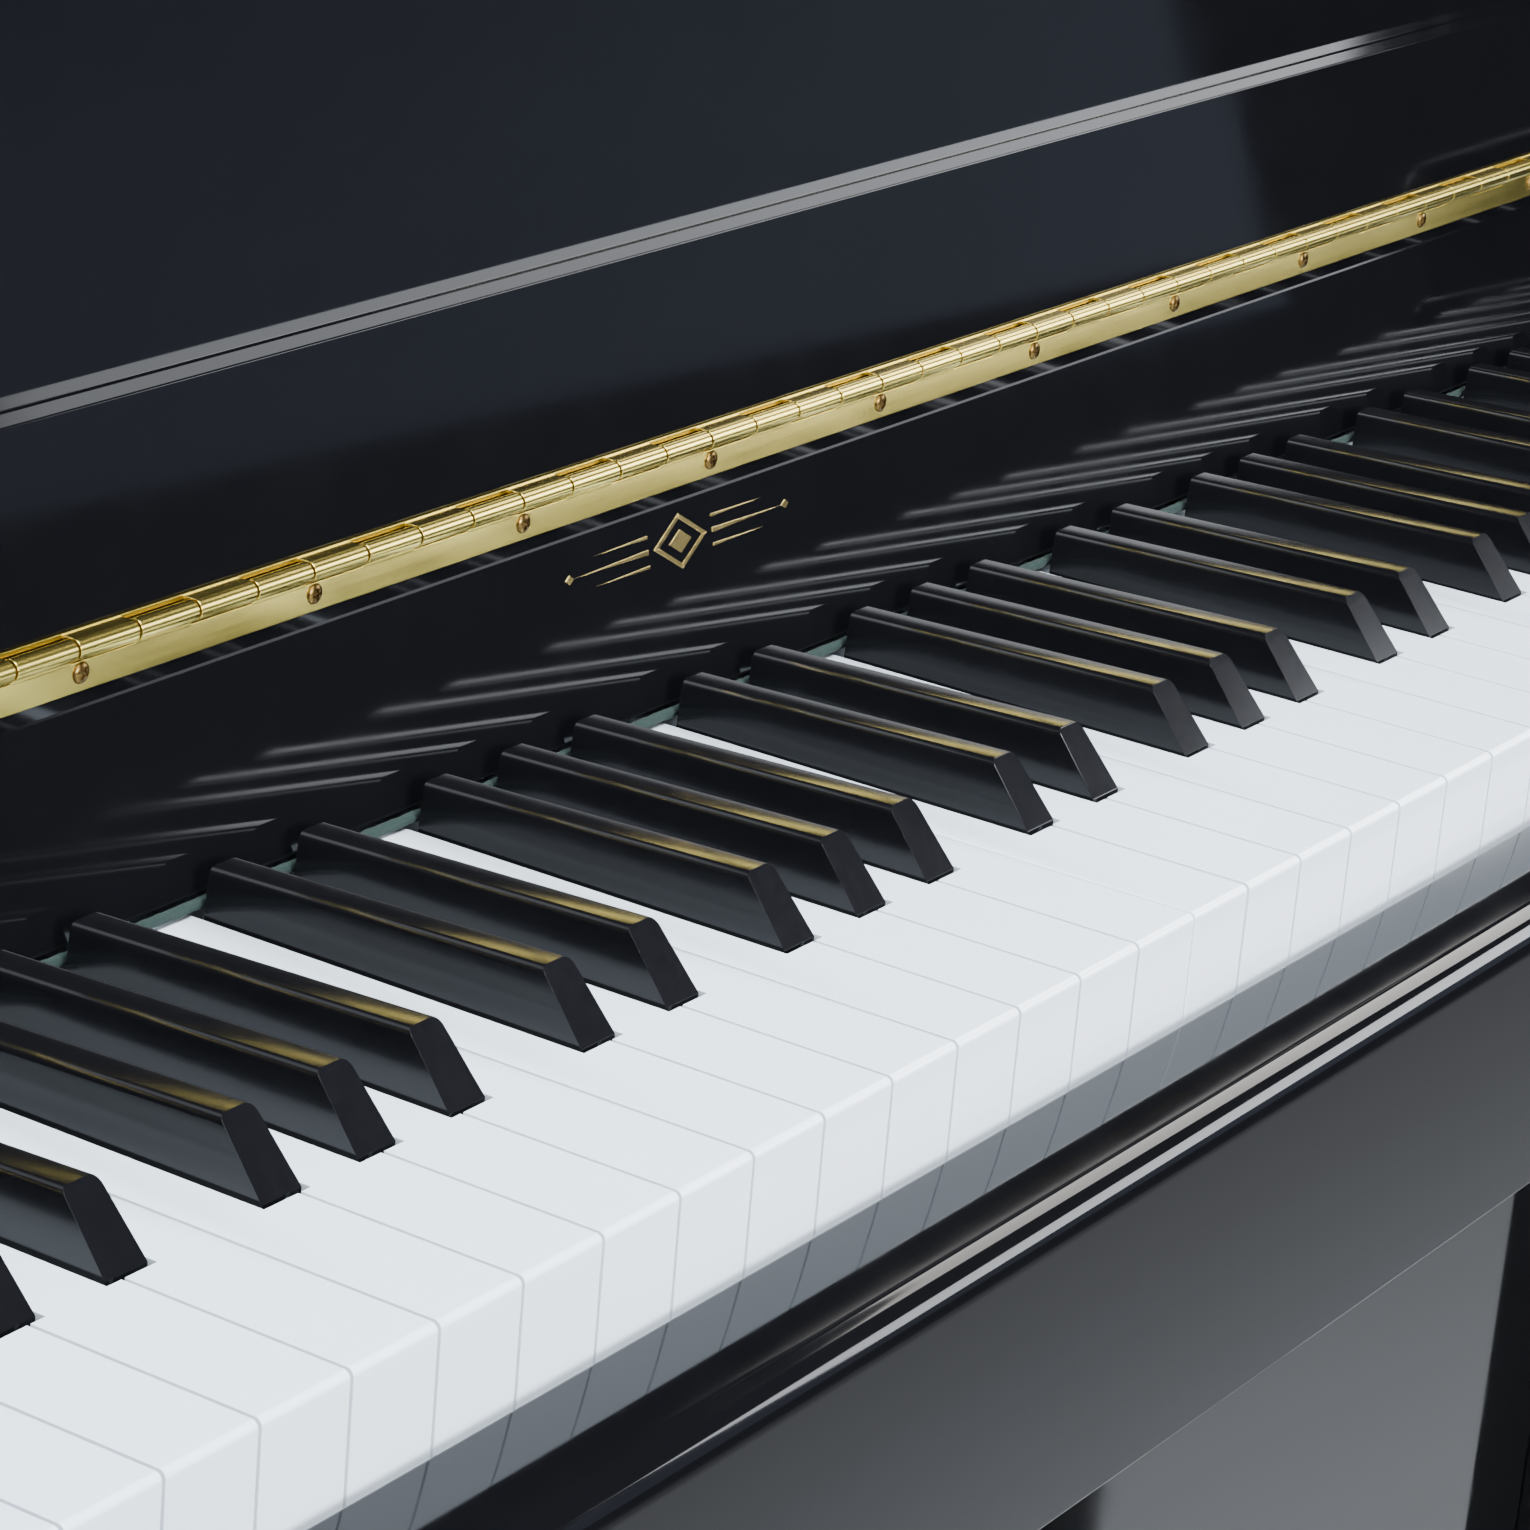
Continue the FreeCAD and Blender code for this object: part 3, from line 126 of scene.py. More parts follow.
grainGroup = makeGrainGroup()
finishes = {
    "blackLacquer": {"light": (0.0020, 0.0020, 0.0025), "dark": (0.0030, 0.0030, 0.0036), "smooth": 0.035,
                     "rough": 0.075, "stretch": (60, 60, 60), "bump": 0.004, "index": 1.36},
    "naturalPlastic": {"light": (0.74, 0.80, 0.86), "dark": (0.70, 0.765, 0.83), "smooth": 0.10,
                       "rough": 0.17, "stretch": (45, 30, 45), "bump": 0.01, "coat": 0.25, "coatRoughness": 0.05},
    "sharpPlastic": {"light": (0.0025, 0.0025, 0.003), "dark": (0.0045, 0.0045, 0.0055), "smooth": 0.13,
                     "rough": 0.18, "stretch": (500, 160, 500), "bump": 0.02, "tilt": 0.085, "index": 1.33},
    "brass": {"light": (0.84, 0.68, 0.17), "dark": (0.76, 0.59, 0.12), "smooth": 0.17, "rough": 0.27,
              "stretch": (14, 420, 420), "bump": 0.03, "metal": 1.0},
    # knuckles: the hinge's own brass made paler and brighter, a painted highlight on the barrels
    "knuckleBrassPaintedHighlight": {"light": (0.95, 0.82, 0.42), "dark": (0.88, 0.73, 0.32), "smooth": 0.12, "rough": 0.22,
                     "stretch": (30, 300, 300), "bump": 0.02, "metal": 1.0},
    "screwBronze": {"light": (0.24, 0.15, 0.04), "dark": (0.10, 0.06, 0.02), "smooth": 0.20, "rough": 0.38,
                    "stretch": (900, 900, 900), "bump": 0.05, "metal": 1.0},
    "goldInlay": {"light": (0.88, 0.68, 0.26), "dark": (0.74, 0.52, 0.16), "smooth": 0.16, "rough": 0.3,
                  "stretch": (260, 260, 260), "bump": 0.03, "metal": 1.0},
    "greenFelt": {"light": (0.0010, 0.016, 0.012), "dark": (0.0004, 0.007, 0.005), "smooth": 0.92,
                  "rough": 1.0, "stretch": (1500, 900, 1500), "bump": 0.6, "sheen": 0.02},
    "whiteFelt": {"light": (0.78, 0.75, 0.66), "dark": (0.60, 0.57, 0.48), "smooth": 0.9, "rough": 1.0,
                  "stretch": (900, 900, 900), "bump": 0.5, "sheen": 0.4},
    "redFelt": {"light": (0.42, 0.03, 0.03), "dark": (0.24, 0.01, 0.015), "smooth": 0.9, "rough": 1.0,
                "stretch": (1100, 1100, 1100), "bump": 0.5, "sheen": 0.4},
    "beechWood": {"light": (0.60, 0.40, 0.22), "dark": (0.42, 0.25, 0.12), "smooth": 0.42, "rough": 0.62,
                  "stretch": (9, 160, 160), "bump": 0.15},
    "postWood": {"light": (0.58, 0.40, 0.22), "dark": (0.40, 0.25, 0.12), "smooth": 0.45, "rough": 0.65,
                 "stretch": (140, 140, 8), "bump": 0.15},
    "stickWood": {"light": (0.70, 0.54, 0.34), "dark": (0.56, 0.40, 0.22), "smooth": 0.5, "rough": 0.68,
                  "stretch": (260, 14, 260), "bump": 0.12},
    "spruce": {"light": (0.72, 0.50, 0.24), "dark": (0.52, 0.32, 0.13), "smooth": 0.25, "rough": 0.42,
               "stretch": (150, 60, 4), "bump": 0.08, "coat": 0.3, "coatRoughness": 0.12},
    "bronzeIron": {"light": (0.55, 0.39, 0.15), "dark": (0.40, 0.27, 0.09), "smooth": 0.32, "rough": 0.5,
                   "stretch": (320, 320, 320), "bump": 0.25, "metal": 0.75},
    "wireSteel": {"light": (0.62, 0.62, 0.64), "dark": (0.46, 0.46, 0.48), "smooth": 0.22, "rough": 0.35,
                  "stretch": (500, 500, 60), "bump": 0.04, "metal": 1.0},
    "bumperRubber": {"light": (0.02, 0.02, 0.02), "dark": (0.035, 0.035, 0.035), "smooth": 0.55,
                     "rough": 0.75, "stretch": (700, 700, 700), "bump": 0.15},
    "paleFloor": {"light": (0.62, 0.63, 0.65), "dark": (0.58, 0.59, 0.61), "smooth": 0.5, "rough": 0.6,
                  "stretch": (6, 6, 6), "bump": 0.0},
}


def makeFinish(name, values):
    material = bpy.data.materials.new(name)
    material.use_nodes = True
    nodes, links = material.node_tree.nodes, material.node_tree.links
    shader = nodes["Principled BSDF"]
    grain = nodes.new("ShaderNodeGroup")
    grain.node_tree = grainGroup
    grain.inputs["Detail"].default_value = grainShape["fineDetail"]
    for socket in ("Stretch", "Smooth", "Rough"):
        grain.inputs[socket].default_value = values[socket.lower()]
    for socket in ("Light", "Dark"):
        grain.inputs[socket].default_value = (*values[socket.lower()], 1)
    links.new(grain.outputs["Color"], shader.inputs["Base Color"])
    links.new(grain.outputs["Roughness"], shader.inputs["Roughness"])
    if values["bump"]:
        bump = nodes.new("ShaderNodeBump")
        bump.inputs["Strength"].default_value = values["bump"]
        bump.inputs["Distance"].default_value = grainShape["bumpDepth"]
        links.new(grain.outputs["Height"], bump.inputs["Height"])
        links.new(bump.outputs["Normal"], shader.inputs["Normal"])
    if values.get("tilt"):  # leans the shading back along the key, so that a sharp's top mirrors the hinge
        place, along = nodes.new("ShaderNodeTexCoord"), nodes.new("ShaderNodeSeparateXYZ")
        slope, tilt = nodes.new("ShaderNodeMath"), nodes.new("ShaderNodeBump")
        slope.operation = "MULTIPLY"
        slope.inputs[1].default_value = -values["tilt"]
        tilt.inputs["Strength"].default_value = 1
        tilt.inputs["Distance"].default_value = 1
        links.new(place.outputs["Object"], along.inputs["Vector"])
        links.new(along.outputs["Y"], slope.inputs[0])
        links.new(slope.outputs["Value"], tilt.inputs["Height"])
        links.new(tilt.outputs["Normal"], bump.inputs["Normal"])
    for socket, key, usual in (("Metallic", "metal", 0), ("IOR", "index", 1.5), ("Coat Weight", "coat", 0),
                               ("Coat Roughness", "coatRoughness", 0.03), ("Sheen Weight", "sheen", 0)):
        shader.inputs[socket].default_value = values.get(key, usual)
    return material


materials = {name: makeFinish(name, values) for name, values in finishes.items()}
print("finishes made:", len(materials))


# pieces: helpers that copy a CAD node, round its edges and give it its finish
sharpAngle = math.radians(32)
flatAngle = math.radians(1)
mergeGap = 0.00002
quarterTurn = math.radians(90)


def dress(piece, names):
    piece.data.materials.clear()
    for name in names:
        piece.data.materials.append(materials[name])


def addPiece(name, mesh, body, names, smooth=True):
    data = bpy.data.meshes.new(name)
    mesh.to_mesh(data)
    mesh.free()
    for face in data.polygons:
        face.use_smooth = smooth
    data.set_sharp_from_angle(angle=sharpAngle)
    piece = bpy.data.objects.new(name, data)
    bpy.context.scene.collection.objects.link(piece)
    dress(piece, names)
    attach(piece, body)
    return piece


def cleanCopy(node):
    mesh = bmesh.new()
    mesh.from_mesh(frame["nodes"][node].data)
    bmesh.ops.remove_doubles(mesh, verts=mesh.verts, dist=mergeGap)
    bmesh.ops.dissolve_limit(mesh, angle_limit=flatAngle, verts=mesh.verts, edges=mesh.edges)
    return mesh


def finishBevel(piece, width, segments=2):
    bevel = piece.modifiers.new("edges", "BEVEL")
    bevel.width = width
    bevel.segments = segments
    bevel.limit_method = "ANGLE"
    bevel.angle_limit = sharpAngle
    bevel.harden_normals = True


bodyOf = {n: b for b, members in frame["record"]["behaviour"]["bodies"].items() for n in members}


def roundedNode(node, name, finish, width, segments=2, sortFaces=None):
    mesh = cleanCopy(node)
    names = [finish] if isinstance(finish, str) else finish
    if sortFaces:
        for face in mesh.faces:
            face.material_index = sortFaces(face.calc_center_median())
    piece = addPiece(name, mesh, bodyOf[node], names)
    finishBevel(piece, width, segments)
    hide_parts(node)


# case panels, lids and desk: black gloss lacquer with softly broken edges
lacquerPanels = {
    "left_side": ("leftSide", 0.0022), "right_side": ("rightSide", 0.0022), "key_slip": ("keySlip", 0.0008),
    "front_legs": ("frontLegs", 0.002), "cheek_blocks": ("cheekBlocks", 0.0012),
    "lower_panel": ("lowerPanel", 0.0015), "lid_rear": ("lidRear", 0.003), "lid_front": ("lidFront", 0.003),
    "nameboard": ("nameboardPanel", 0.0003), "fallboard": ("fallboardPanel", 0.0004),
    "music_desk": ("musicDesk", 0.0018), "bottom_board": ("bottomBoard", 0.001),
}
for node, (name, width) in lacquerPanels.items():
    roundedNode(node, name, "blackLacquer", width, 3)


upperPanel = {"edge": 0.0015, "bumperProud": 0.0002}


def panelOrBumper(centre):
    return 1 if centre.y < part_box("nameboard")[1].y - upperPanel["bumperProud"] else 0


roundedNode("upper_panel", "upperPanel", ["blackLacquer", "bumperRubber"], upperPanel["edge"], 3,
            panelOrBumper)
print("case dressed")


# keys: the CAD key of each note, with rounded plastic and a bare wooden stick
keyShape = {"naturalEdge": 0.00045, "plasticDepth": 0.0024, "frontDepth": 0.0022,
            "sharpSetback": 0.0505, "sharpRound": 0.0017, "roundSteps": 7, "sharpFall": 0.0015,
            "sharpEdge": 0.0007, "topBand": 0.0002, "shortestLong": 0.02, "fallBand": 0.004, "feltOverlap": 0.0005}
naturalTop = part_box("key_c4")[1].z
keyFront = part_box("key_c4")[0].y
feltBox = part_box("nameboard_felt")
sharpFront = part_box("key_c_sharp4")[0].y + keyShape["sharpSetback"]


def stickOrNatural(centre):
    onHead = centre.y < feltBox[1].y and centre.z > naturalTop - keyShape["plasticDepth"]
    return 0 if onHead or centre.y < keyFront + keyShape["frontDepth"] else 1


def stickOrSharp(centre):
    return 0 if centre.y < feltBox[0].y - keyShape["feltOverlap"] else 1


naturals = {"bass_naturals": "bassNaturals", "treble_naturals": "trebleNaturals", "key_c4": "keyC4",
            "key_d4": "keyD4"}
for node, name in naturals.items():
    roundedNode(node, name, ["naturalPlastic", "stickWood"], keyShape["naturalEdge"], 2, stickOrNatural)


def roundSharpTops(mesh, top):
    long = [e for e in mesh.edges if min(v.co.z for v in e.verts) > top - keyShape["topBand"]
            and abs(e.verts[0].co.y - e.verts[1].co.y) > keyShape["shortestLong"]]
    bmesh.ops.bevel(mesh, geom=long, offset=keyShape["sharpRound"], segments=keyShape["roundSteps"],
                    profile=0.5, affect="EDGES", material=-1)
    for v in mesh.verts:
        if v.co.z > top - keyShape["fallBand"]:
            v.co.z -= keyShape["sharpFall"] * (v.co.y - sharpFront) / (feltBox[0].y - sharpFront)


def makeSharps(node, name):
    mesh = cleanCopy(node)
    roundSharpTops(mesh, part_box("key_c_sharp4")[1].z)
    for face in mesh.faces:
        face.material_index = stickOrSharp(face.calc_center_median())
    piece = addPiece(name, mesh, bodyOf[node], ["sharpPlastic", "stickWood"])
    finishBevel(piece, keyShape["sharpEdge"], 3)
    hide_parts(node)


sharps = {"bass_sharps": "bassSharps", "treble_sharps": "trebleSharps", "key_c_sharp4": "keyCSharp4",
          "key_d_sharp4": "keyDSharp4"}
for node, name in sharps.items():
    makeSharps(node, name)
print("keys made")


# piano hinge: knuckles in a paler, brighter copy of the brass that is a painted highlight, on a yellow leaf, and
# raised cross-head screws
hinge = {"screwRadius": 0.0023, "screwSeat": 0.0011, "domeHeight": 0.0010,
         "crossLength": 0.0027, "crossWidth": 0.00055, "crossDepth": 0.0005, "firstTurn": 17, "nextTurn": 47,
         "knuckleRadius": 0.0023, "sides": 32, "pitch": 0.0179, "firstJoint": 0.0026, "jointGap": 0.0007,
         "leafThickness": 0.0012, "leafProud": 0.0003, "leafGap": 0.0004, "leafEdge": 0.00018,
         "lowerTab": 0.0009, "upperTab": 0.0014, "tabSink": 0.0003, "lastSlack": 0.0001, "lidEdge": 0.0002}


for node, name in (("lid_hinge_rear", "lidHingeRear"), ("lid_hinge_front", "lidHingeFront")):
    roundedNode(node, name, "brass", hinge["lidEdge"], 1)


def screwCentres():
    mesh = cleanCopy("hinge_screws")
    seen, places = set(), []
    for start in mesh.verts:
        if start in seen:
            continue
        island, todo = [], [start]
        seen.add(start)
        while todo:
            v = todo.pop()
            island.append(v.co.copy())
            for other in (e.other_vert(v) for e in v.link_edges):
                if other not in seen:
                    seen.add(other)
                    todo.append(other)
        xs, ys, zs = ([c[axis] for c in island] for axis in range(3))
        seat = min(ys) + hinge["screwSeat"]
        places.append(Vector(((min(xs) + max(xs)) / 2, seat, (min(zs) + max(zs)) / 2)))
    mesh.free()
    return sorted(places, key=lambda p: p.x)


def oneScrew(centre, turn):
    mesh = bmesh.new()
    bmesh.ops.create_uvsphere(mesh, u_segments=24, v_segments=12, radius=hinge["screwRadius"])
    bmesh.ops.bisect_plane(mesh, geom=mesh.verts[:] + mesh.edges[:] + mesh.faces[:], plane_co=(0, 0, 0),
                           plane_no=(0, 0, -1), clear_outer=True)
    bmesh.ops.scale(mesh, vec=(1, 1, hinge["domeHeight"] / hinge["screwRadius"]), verts=mesh.verts)
    rim = [e for e in mesh.edges if e.is_boundary]
    bmesh.ops.contextual_create(mesh, geom=rim)
    for angle, axis in ((quarterTurn, "X"), (turn, "Y")):
        bmesh.ops.rotate(mesh, cent=(0, 0, 0), matrix=Matrix.Rotation(angle, 3, axis), verts=mesh.verts)
    bmesh.ops.translate(mesh, vec=centre, verts=mesh.verts)
    return mesh


def crossCutter(centre, turn):
    mesh = bmesh.new()
    for angle in (0, quarterTurn):
        made = bmesh.ops.create_cube(mesh, size=1)["verts"]
        size = (hinge["crossLength"], 2 * hinge["crossDepth"], hinge["crossWidth"])
        bmesh.ops.scale(mesh, vec=size, verts=made)
        bmesh.ops.rotate(mesh, cent=(0, 0, 0), matrix=Matrix.Rotation(angle + turn, 3, "Y"), verts=made)
        bmesh.ops.translate(mesh, vec=centre + Vector((0, -hinge["domeHeight"], 0)), verts=made)
    return mesh


screwPlaces = screwCentres()


def makeScrews():
    heads, slots = bmesh.new(), bmesh.new()
    for i, place in enumerate(screwPlaces):
        turn = math.radians(hinge["firstTurn"] + hinge["nextTurn"] * i % 90)
        for target, made in ((heads, oneScrew(place, turn)), (slots, crossCutter(place, turn))):
            data = bpy.data.meshes.new("part")
            made.to_mesh(data)
            made.free()
            target.from_mesh(data)
            bpy.data.meshes.remove(data)
    bmesh.ops.recalc_face_normals(heads, faces=heads.faces)
    screws = addPiece("hingeScrews", heads, "case", ["screwBronze"])
    cutData = bpy.data.meshes.new("cut")
    slots.to_mesh(cutData)
    slots.free()
    cutter = bpy.data.objects.new("cut", cutData)
    bpy.context.scene.collection.objects.link(cutter)
    cut = screws.modifiers.new("cross", "BOOLEAN")
    cut.object = cutter
    cut.operation = "DIFFERENCE"
    cut.use_self = True
    graph = bpy.context.evaluated_depsgraph_get()
    final = bpy.data.meshes.new_from_object(screws.evaluated_get(graph))
    screws.modifiers.clear()
    screws.data = final
    dress(screws, ["screwBronze"])
    bpy.data.objects.remove(cutter)
    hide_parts("hinge_screws")


makeScrews()


def addTube(mesh, start, end, radius, centre):
    made = bmesh.ops.create_cone(mesh, cap_ends=True, segments=hinge["sides"], radius1=radius, radius2=radius,
                                 depth=end - start)["verts"]
    bmesh.ops.rotate(mesh, cent=(0, 0, 0), matrix=Matrix.Rotation(quarterTurn, 3, "Y"), verts=made)
    bmesh.ops.translate(mesh, vec=((start + end) / 2, centre[0], centre[1]), verts=made)
    # the barrels take the paler brass, their painted highlight
    for face in {f for v in made for f in v.link_faces}:
        face.material_index = 1


def addPlate(mesh, low, high):
    made = bmesh.ops.create_cube(mesh, size=1)["verts"]
    low, high = Vector(low), Vector(high)
    bmesh.ops.scale(mesh, vec=high - low, verts=made)
    bmesh.ops.translate(mesh, vec=(low + high) / 2, verts=made)


def makeLeaf(node, name, odd):
    low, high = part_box(node)
    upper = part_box("fallboard_hinge_upper")
    centre = (upper[0].y + hinge["knuckleRadius"], upper[0].z + hinge["knuckleRadius"])
    front = centre[0] - hinge["leafProud"]
    radius, gap, thick = hinge["knuckleRadius"], hinge["leafGap"], hinge["leafThickness"]
    mesh = bmesh.new()
    x = screwPlaces[0].x - hinge["firstJoint"]
    x -= math.floor((x - low.x) / hinge["pitch"]) * hinge["pitch"]  # back to the first joint inside the leaf
    if node == "fallboard_hinge_lower":
        addPlate(mesh, (low.x, front, low.z), (high.x, front + thick, centre[1] - radius - gap))
    else:
        addPlate(mesh, (low.x, centre[0] + radius + gap, high.z - thick), high)
    i = 0
    while x + hinge["pitch"] <= high.x + hinge["lastSlack"]:
        if i % 2 == odd:
            start, end = x + hinge["jointGap"] / 2, x + hinge["pitch"] - hinge["jointGap"] / 2
            addTube(mesh, start, end, radius, centre)
            if node == "fallboard_hinge_lower":
                addPlate(mesh, (start, front, centre[1] - radius - hinge["lowerTab"]),
                         (end, front + thick, centre[1]))
            else:
                addPlate(mesh, (start, centre[0], high.z - thick),
                         (end, centre[0] + radius + hinge["upperTab"], high.z - hinge["tabSink"]))
        x, i = x + hinge["pitch"], i + 1
    piece = addPiece(name, mesh, bodyOf[node], ["brass", "knuckleBrassPaintedHighlight"])
    finishBevel(piece, hinge["leafEdge"], 1)
    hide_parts(node)


makeLeaf("fallboard_hinge_lower", "hingeLowerLeaf", 0)
makeLeaf("fallboard_hinge_upper", "hingeUpperLeaf", 1)
print("hinge made")


# nameboard felt: a strip with a soft, fuzzy face
felt = {"step": 0.0016, "fuzz": 0.0003, "edge": 0.0006, "clump": 0.0022, "clumpDepth": 3,
        "shortestLong": 0.5}


def makeFelt():
    low, high = feltBox
    mesh = bmesh.new()
    made = bmesh.ops.create_cube(mesh, size=1)["verts"]
    bmesh.ops.scale(mesh, vec=high - low - Vector((0, 2, 2)) * felt["fuzz"], verts=made)
    bmesh.ops.translate(mesh, vec=(low + high) / 2, verts=made)
    bmesh.ops.bevel(mesh, geom=mesh.edges[:], offset=felt["edge"], segments=2, profile=0.5,
                    affect="EDGES", material=-1)
    along = [e for e in mesh.edges if abs(e.verts[0].co.x - e.verts[1].co.x) > felt["shortestLong"]]
    bmesh.ops.subdivide_edges(mesh, edges=along, cuts=int((high.x - low.x) / felt["step"]))
    piece = addPiece("nameboardFelt", mesh, "case", ["greenFelt"])
    fuzz = bpy.data.textures.new("fuzz", "CLOUDS")
    fuzz.noise_scale = felt["clump"]
    fuzz.noise_depth = felt["clumpDepth"]
    rough = piece.modifiers.new("fuzz", "DISPLACE")
    rough.texture = fuzz
    rough.strength = felt["fuzz"] * 2
    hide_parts("nameboard_felt")


makeFelt()

# inlay: a plain gold ornament of a lozenge between tapering lines, set on the nameboard's face
# each line: its height, the share of the longest reach, and its half width as a share of lineWidth
inlay = {"centreX": -0.0415, "rise": 0.0262, "lean": 11.57, "proud": 0.0002, "thick": 0.0004, "edge": 0.0001,
         "lozenge": (0.0105, 0.0064), "ring": 0.80, "core": 0.42, "tip": (0.0032, 0.0011),
         "lineStart": 0.0125, "lineEnd": 0.041, "lineWidth": 0.0012,
         "lines": ((0, 1.0, 0.5), (0.0034, 0.72, 0.32), (-0.0034, 0.72, 0.32))}


def flatShape(mesh, outline):
    verts = [mesh.verts.new((x, 0, z)) for x, z in outline]
    face = mesh.faces.new(verts)
    grown = bmesh.ops.extrude_face_region(mesh, geom=[face])["geom"]
    raised = [g for g in grown if isinstance(g, bmesh.types.BMVert)]
    bmesh.ops.translate(mesh, vec=(0, -inlay["thick"], 0), verts=raised)


def lozenge(wide, tall):
    return [(wide, 0), (0, tall), (-wide, 0), (0, -tall)]


def ringShape(mesh, wide, tall, inner):
    corners = lozenge(wide, tall)
    for (ax, az), (bx, bz) in zip(corners, corners[1:] + corners[:1]):
        flatShape(mesh, [(ax, az), (bx, bz), (bx * inner, bz * inner), (ax * inner, az * inner)])


def makeInlay():
    mesh = bmesh.new()
    wide, tall = inlay["lozenge"]
    ringShape(mesh, wide, tall, inlay["ring"])
    flatShape(mesh, lozenge(wide * inlay["core"], tall * inlay["core"]))
    start, end = inlay["lineStart"], inlay["lineEnd"]
    tipLong, tipHigh = inlay["tip"]
    for side in (-1, 1):
        for level, reach, share in inlay["lines"]:
            a, b = side * start, side * (start + (end - start) * reach)
            w = inlay["lineWidth"] * share
            flatShape(mesh, [(a, level + w), (a, level - w), (b, level)])
        flatShape(mesh, [(side * (end + tipLong), 0), (side * (end + tipLong / 2), tipHigh),
                         (side * end, 0), (side * (end + tipLong / 2), -tipHigh)])
    bmesh.ops.recalc_face_normals(mesh, faces=mesh.faces)
    lean = math.radians(inlay["lean"])
    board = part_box("nameboard")
    height = naturalTop + inlay["rise"] * math.cos(lean)
    depth = board[0].y + (height - board[0].z) * math.tan(lean) - inlay["proud"]
    bmesh.ops.rotate(mesh, cent=(0, 0, 0), matrix=Matrix.Rotation(-lean, 3, "X"), verts=mesh.verts)
    bmesh.ops.translate(mesh, vec=(inlay["centreX"], depth + inlay["thick"], height), verts=mesh.verts)
    piece = addPiece("nameboardInlay", mesh, "case", ["goldInlay"], smooth=False)
    finishBevel(piece, inlay["edge"], 1)


makeInlay()
print("nameboard dressed")

# pedals: cast brass with a broad rounding; feet: turned cups
pedalEdge = 0.0026
for side in ("left", "middle", "right"):
    roundedNode("pedal_" + side, side + "Pedal", "brass", pedalEdge, 4)
foot = {"profile": [(0.0, 0.0), (0.0215, 0.0), (0.0238, 0.0022), (0.0238, 0.0055), (0.0205, 0.0085),
                    (0.0150, 0.0112), (0.0128, 0.0150), (0.0118, 0.0200), (0.0118, 0.0420), (0.0150, 0.0448),
                    (0.0, 0.0449)],
        "sides": 40, "edge": 0.0004, "mergeGap": 0.00001}


def makeFeet():
    low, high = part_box("feet")
    radius = max(r for r, z in foot["profile"])
    mesh = bmesh.new()
    for x in (low.x + radius, high.x - radius):
        for y in (low.y + radius, high.y - radius):
            verts = [mesh.verts.new((x + r, y, z)) for r, z in foot["profile"]]
            edges = [mesh.edges.new(pair) for pair in zip(verts, verts[1:])]
            bmesh.ops.spin(mesh, geom=verts + edges, cent=(x, y, 0), axis=(0, 0, 1), angle=math.tau,
                           steps=foot["sides"], use_merge=True)
    bmesh.ops.remove_doubles(mesh, verts=mesh.verts, dist=foot["mergeGap"])
    bmesh.ops.recalc_face_normals(mesh, faces=mesh.faces)
    piece = addPiece("turnedFeet", mesh, "case", ["brass"])
    finishBevel(piece, foot["edge"])
    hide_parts("feet")


makeFeet()


# inside and back: woods, iron, wire and felts, and where one finish ends and the next begins
finishEnds = {"strikeBelowTop": 0.0135, "feltBelowStrike": 0.014, "damperFeltHeight": 0.0385,
              "damperFeltFront": 0.006, "bottomBeam": 0.1198, "topBeam": 0.1258}
damperBox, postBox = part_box("dampers"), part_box("back_frame")
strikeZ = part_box("hammer_c4")[1].z - finishEnds["strikeBelowTop"]


def shankOrFelt(centre):
    return 1 if centre.z > strikeZ - finishEnds["feltBelowStrike"] else 0


def leverOrFelt(centre):
    onFelt = centre.z > damperBox[1].z - finishEnds["damperFeltHeight"]
    return 1 if onFelt and centre.y > damperBox[0].y + finishEnds["damperFeltFront"] else 0


def postOrBeam(centre):
    low, high = postBox[0].z + finishEnds["bottomBeam"], postBox[1].z - finishEnds["topBeam"]
    return 0 if low < centre.z < high else 1


insides = {
    "back_frame": ("backFrame", ["postWood", "beechWood"], 0.0025, postOrBeam),
    "soundboard": ("soundboardPanel", ["spruce"], 0.0008, None),
    "keybed": ("keybedBoard", ["beechWood"], 0.0012, None),
    "iron_plate": ("ironPlate", ["bronzeIron"], 0.0025, None),
    "hammer_rest_rail": ("hammerRestRail", ["beechWood"], 0.0008, None),
    "dampers": ("damperRow", ["stickWood", "whiteFelt"], 0.0006, leverOrFelt),
}
pedalSides, midNotes = ("left", "middle", "right"), ("c4", "c_sharp4", "d4", "d_sharp4")
alike = (  # node names, finishes, edge width, and how their faces are sorted
    (["trap_lever_" + side for side in pedalSides], ["beechWood"], 0.0015, None),
    (["dowel_" + side for side in pedalSides], ["postWood"], 0.0008, None),
    (["bass_hammers", "treble_hammers"] + ["hammer_" + note for note in midNotes],
     ["stickWood", "whiteFelt"], 0.0008, shankOrFelt),
    (["bass_whippens", "treble_whippens"] + ["whippen_" + note for note in midNotes],
     ["stickWood"], 0.0005, None),
)
for nodes, names, width, sortFaces in alike:
    for node in nodes:
        insides[node] = (node.replace("_", "."), names, width, sortFaces)
for node, (name, names, width, sortFaces) in insides.items():
    roundedNode(node, name, names, width, 1, sortFaces)
plain = {"strings": "wireSteel", "tuning_pins": "wireSteel", "key_frame": "beechWood",
         "action_rails": "beechWood", "mute_rail": "greenFelt"}
for node, finish in plain.items():
    dress(frame["nodes"][node], [finish])
print("inside dressed")

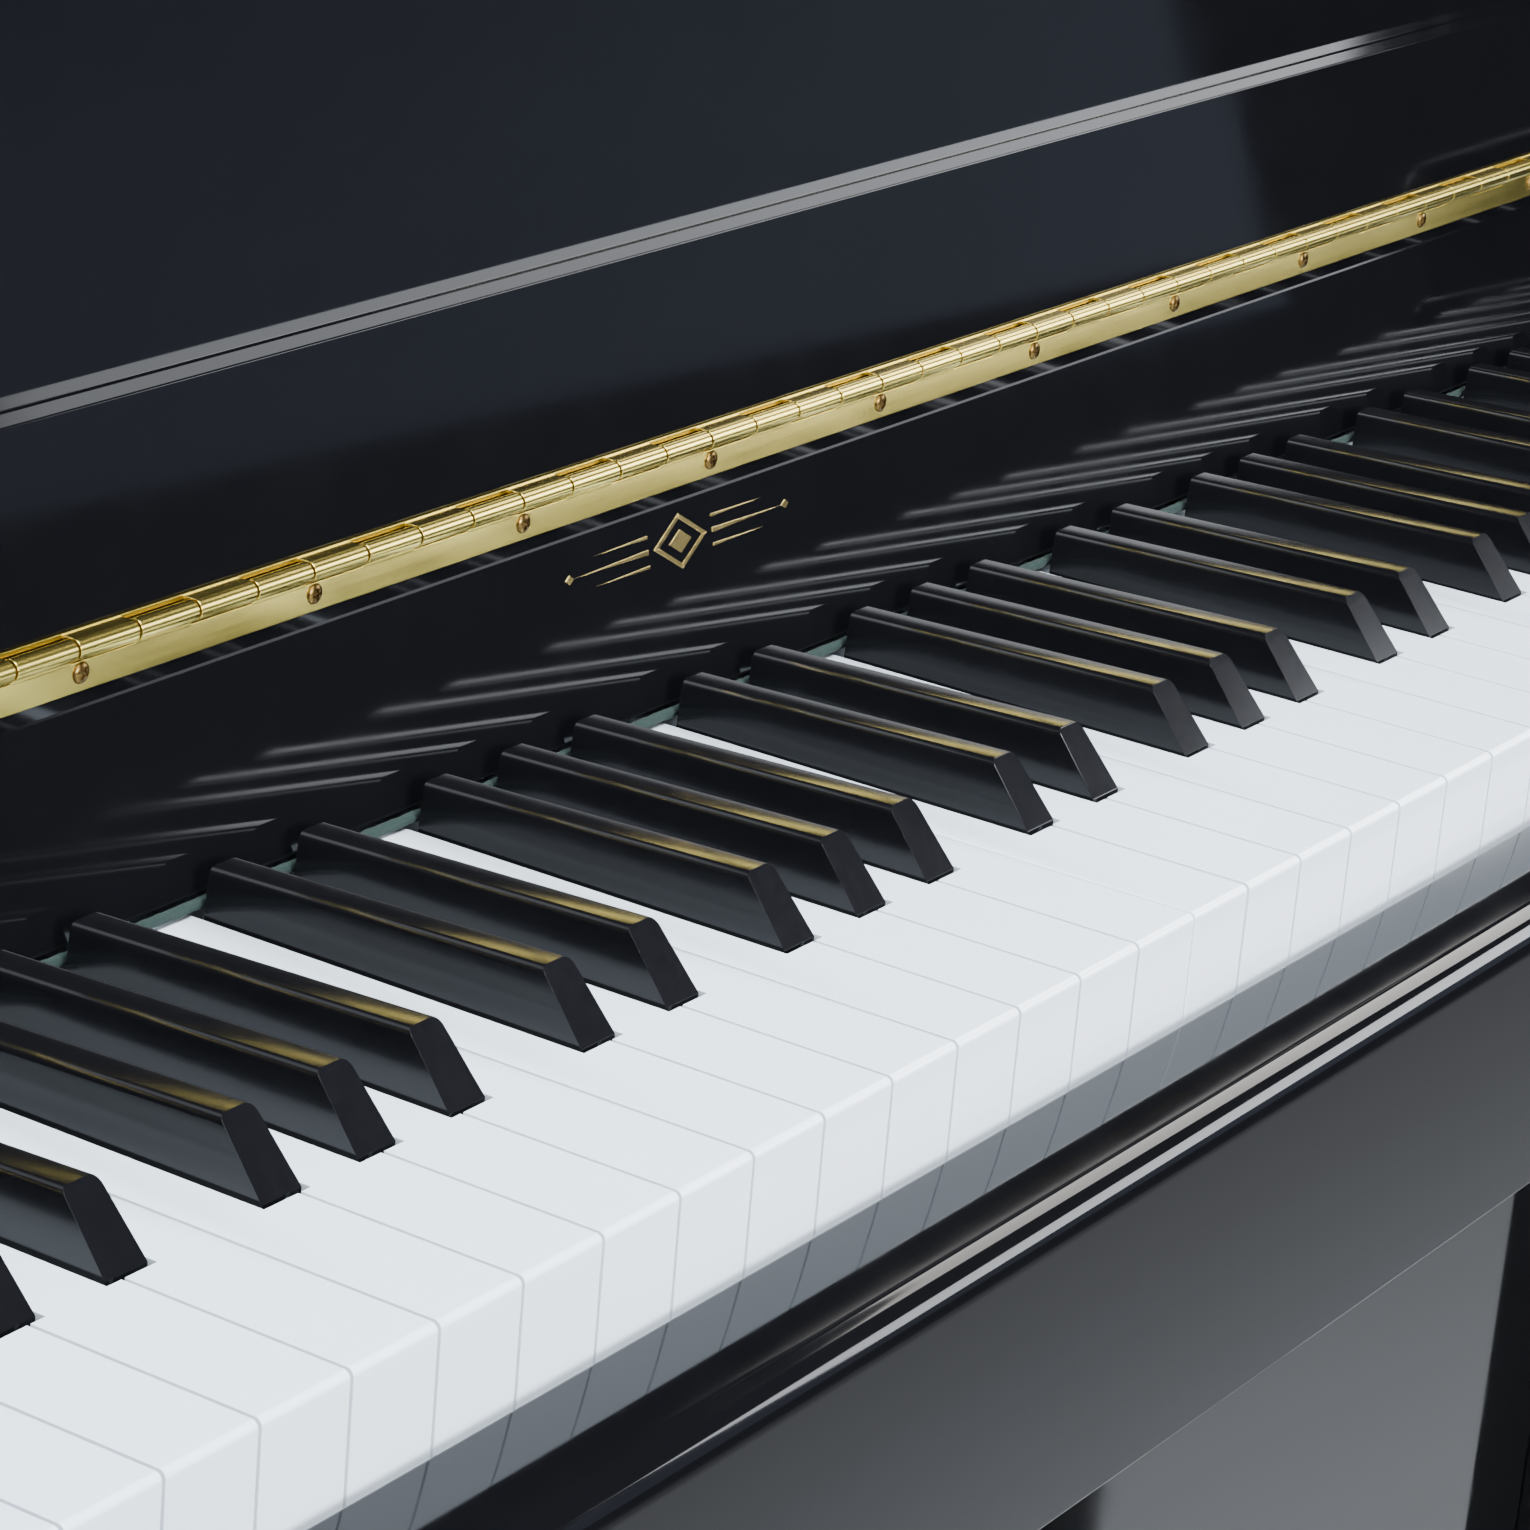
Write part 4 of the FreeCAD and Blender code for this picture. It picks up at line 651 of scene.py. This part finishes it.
# stage: a pale floor under a dim cool world, with area lights that the camera doesn't see: a window and a
# high light from the treble side, narrow ones above and in front, a side, a rear, and a faint blue lid card
stage = {"floorSize": 9.0, "world": (0.42, 0.50, 0.62), "worldStrength": 0.06}
lights = {
    "window": {"place": (2.1, -1.50, 1.45), "aim": (0.0, -0.15, 0.76), "size": (1.0, 0.6), "power": 24,
               "colour": (0.92, 0.95, 1.0), "spread": 180},
    "high": {"place": (2.0, -0.25, 2.1), "aim": (0.0, -0.1, 0.78), "size": (0.9, 0.6), "power": 14,
             "colour": (1.0, 0.98, 0.94), "spread": 180},
    "ceiling": {"place": (-0.5, -0.9, 2.9), "aim": (-0.1, -0.15, 0.7), "size": (1.6, 1.3), "power": 36,
                "colour": (0.88, 0.94, 1.0), "spread": 56},
    "front": {"place": (-0.9, -2.6, 1.5), "aim": (0.1, -0.2, 0.7), "size": (1.6, 1.0), "power": 26,
              "colour": (0.95, 0.97, 1.0), "spread": 60},
    "side": {"place": (-2.8, -0.8, 1.9), "aim": (0.0, 0.0, 0.7), "size": (1.4, 1.4), "power": 16,
             "colour": (0.92, 0.95, 1.0), "spread": 180},
    "rear": {"place": (0.8, 3.0, 2.2), "aim": (0.0, 0.3, 0.7), "size": (1.8, 1.4), "power": 60,
             "colour": (1.0, 0.98, 0.95), "spread": 180},
    "lidCard": {"place": (0.85, -0.95, 0.93), "aim": (-0.2, -0.06, 0.9), "size": (0.9, 0.42), "power": 0.5,
                "colour": (0.62, 0.74, 1.0), "spread": 180},
}


def makeStage():
    mesh = bmesh.new()
    bmesh.ops.create_grid(mesh, x_segments=2, y_segments=2, size=stage["floorSize"] / 2)
    data = bpy.data.meshes.new("floor")
    mesh.to_mesh(data)
    mesh.free()
    floor = bpy.data.objects.new("floor", data)
    bpy.context.scene.collection.objects.link(floor)
    dress(floor, ["paleFloor"])
    world = bpy.data.worlds.new("studio")
    world.use_nodes = True
    background = world.node_tree.nodes["Background"]
    background.inputs["Color"].default_value = (*stage["world"], 1)
    background.inputs["Strength"].default_value = stage["worldStrength"]
    bpy.context.scene.world = world
    for name, values in lights.items():
        data = bpy.data.lights.new(name, "AREA")
        data.shape = "RECTANGLE"
        data.size, data.size_y = values["size"]
        data.energy = values["power"]
        data.color = values["colour"]
        data.spread = math.radians(values["spread"])
        lamp = bpy.data.objects.new(name, data)
        lamp.location = values["place"]
        aim = Vector(values["aim"]) - Vector(values["place"])
        lamp.rotation_euler = aim.to_track_quat("-Z", "Y").to_euler()
        lamp.visible_camera = False
        bpy.context.scene.collection.objects.link(lamp)


makeStage()
print("stage set")
